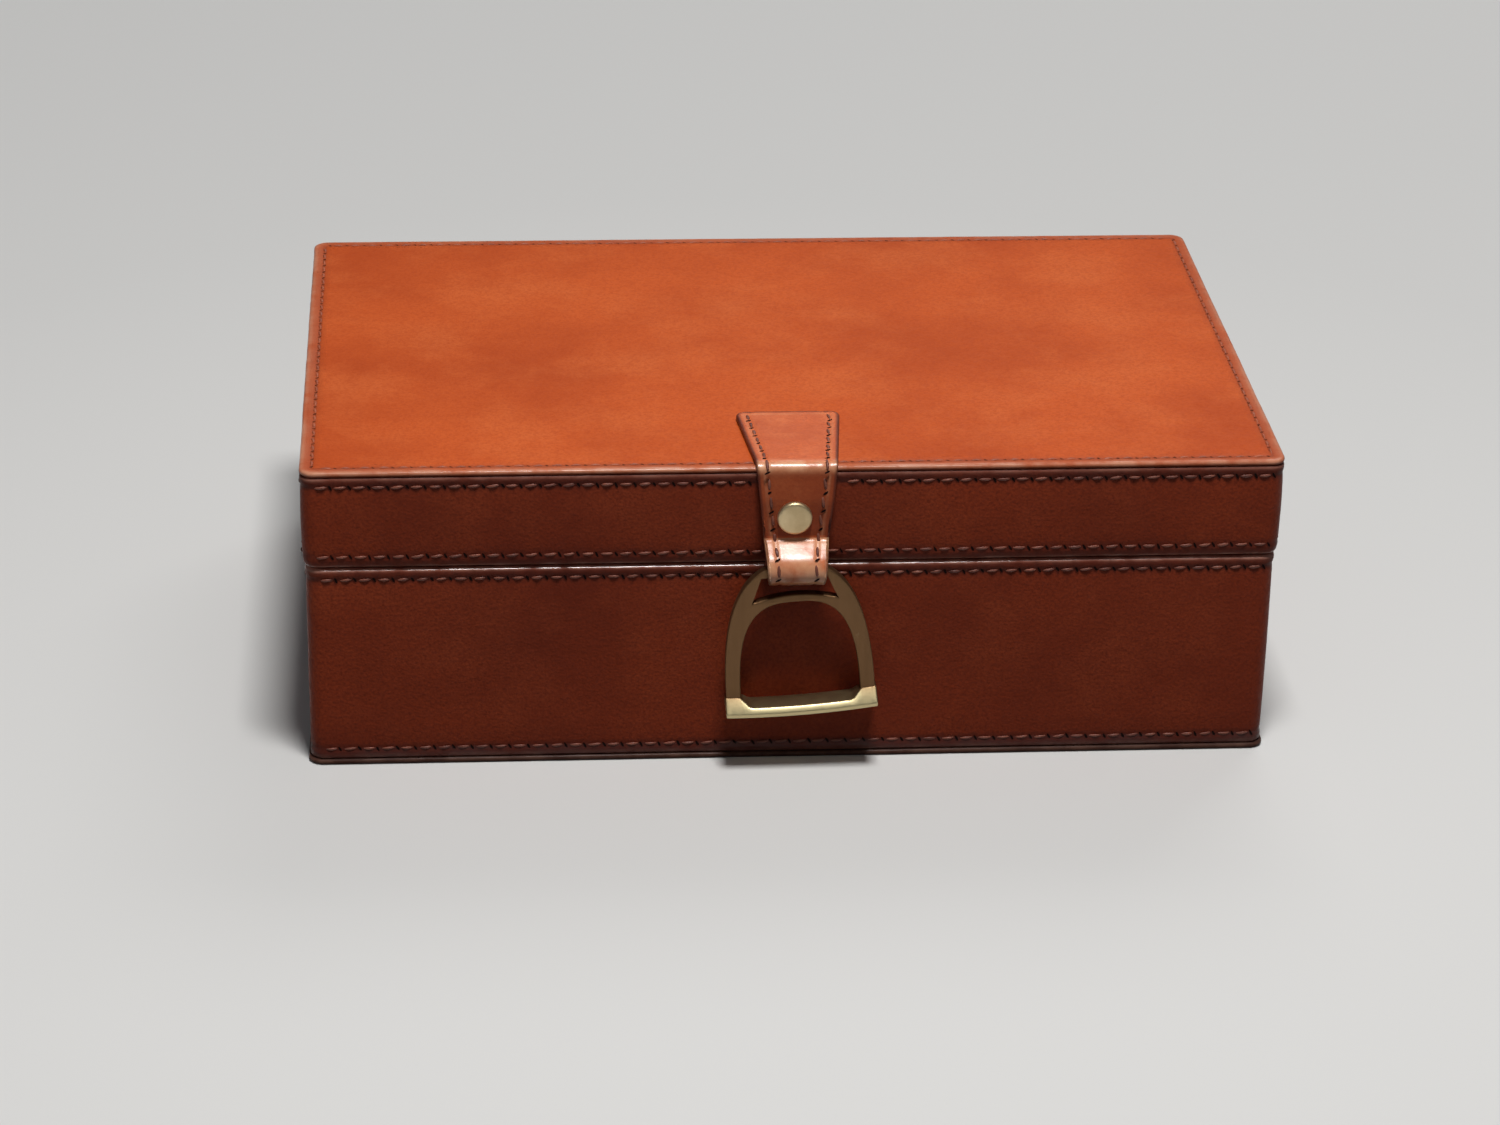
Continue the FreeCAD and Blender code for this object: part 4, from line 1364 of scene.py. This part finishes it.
# Painted shade: the sole is dark leather, painted darker still for the shade along the bottom.
sole_leather = leather_material(
    "sole_leather", paint(76, 36, 25), paint(52, 25, 18), paint(94, 50, 35), paint(44, 23, 18),
    paint(130, 92, 76), patches=24.0, rough=0.55, bump=0.4, gloss=0.1, edge_coat=0.3)
# The strap's strip colour also paints the shade on its front, and its worn colour paints the highlight on its
# fold and loop.
strap_leather = leather_material(
    "strap_leather", paint(214, 104, 56), paint(182, 80, 42), paint(226, 124, 74), paint(86, 37, 28),
    paint(238, 176, 132), patches=40.0, speckle=0.5, rough=0.38, bump=0.25, gloss=0.15, edge_coat=1.0,
    coat_rough=0.3, strip_polish=0.0)
trim_leather = leather_material(
    "trim_leather", paint(160, 74, 42), paint(124, 54, 32), paint(182, 98, 62), paint(84, 40, 28),
    paint(190, 132, 100), patches=40.0, rough=0.45, bump=0.3)
suede = suede_material("suede", paint(176, 150, 118), paint(146, 120, 90))
pad_suede = suede_material("pad_suede", paint(180, 154, 122), paint(150, 124, 94))
ring_suede = suede_material("ring_suede", paint(184, 158, 126), paint(152, 127, 97))
stirrup_brass = brass_material("stirrup_brass", paint(206, 190, 146), paint(122, 92, 64), 0.84)
rivet_brass = brass_material("rivet_brass", paint(214, 192, 152), paint(180, 156, 116), 0.42)
hinge_brass = brass_material("hinge_brass", paint(212, 178, 108), paint(160, 126, 68), 0.46)
dark_thread = thread_material("dark_thread", paint(144, 82, 62), paint(98, 50, 38))
tan_thread = thread_material("tan_thread", paint(176, 88, 52), paint(140, 66, 40))
# Flat patches of painted shade where the threads go into the leather.
dark_hole_shade = hole_shade_material("dark_hole_shade", paint(34, 13, 10), paint(16, 7, 5))
tan_hole_shade = hole_shade_material("tan_hole_shade", paint(122, 58, 34), paint(92, 42, 26))
mirror = mirror_material()
board = board_material()

lid_front = box_mm("lid_side_leather")[0].y
lid_top = box_mm("lid_top_leather")[1].z
swing = next(Vector(joint["pos_m"]) / MM for joint in frame["joints"] if joint["name"] == "stirrup_swing")
stitch_mesh = stitch_template()

build_bands()
build_top_panel()
build_sole()
build_case_stitches()
build_strap()
build_rivet()
build_stirrup()
build_plain_pieces()
build_tabs()
build_mirror_frame()
build_ring_rolls()
build_lid_pad()
build_floor_pad()
build_floor()
build_light()
build_camera()
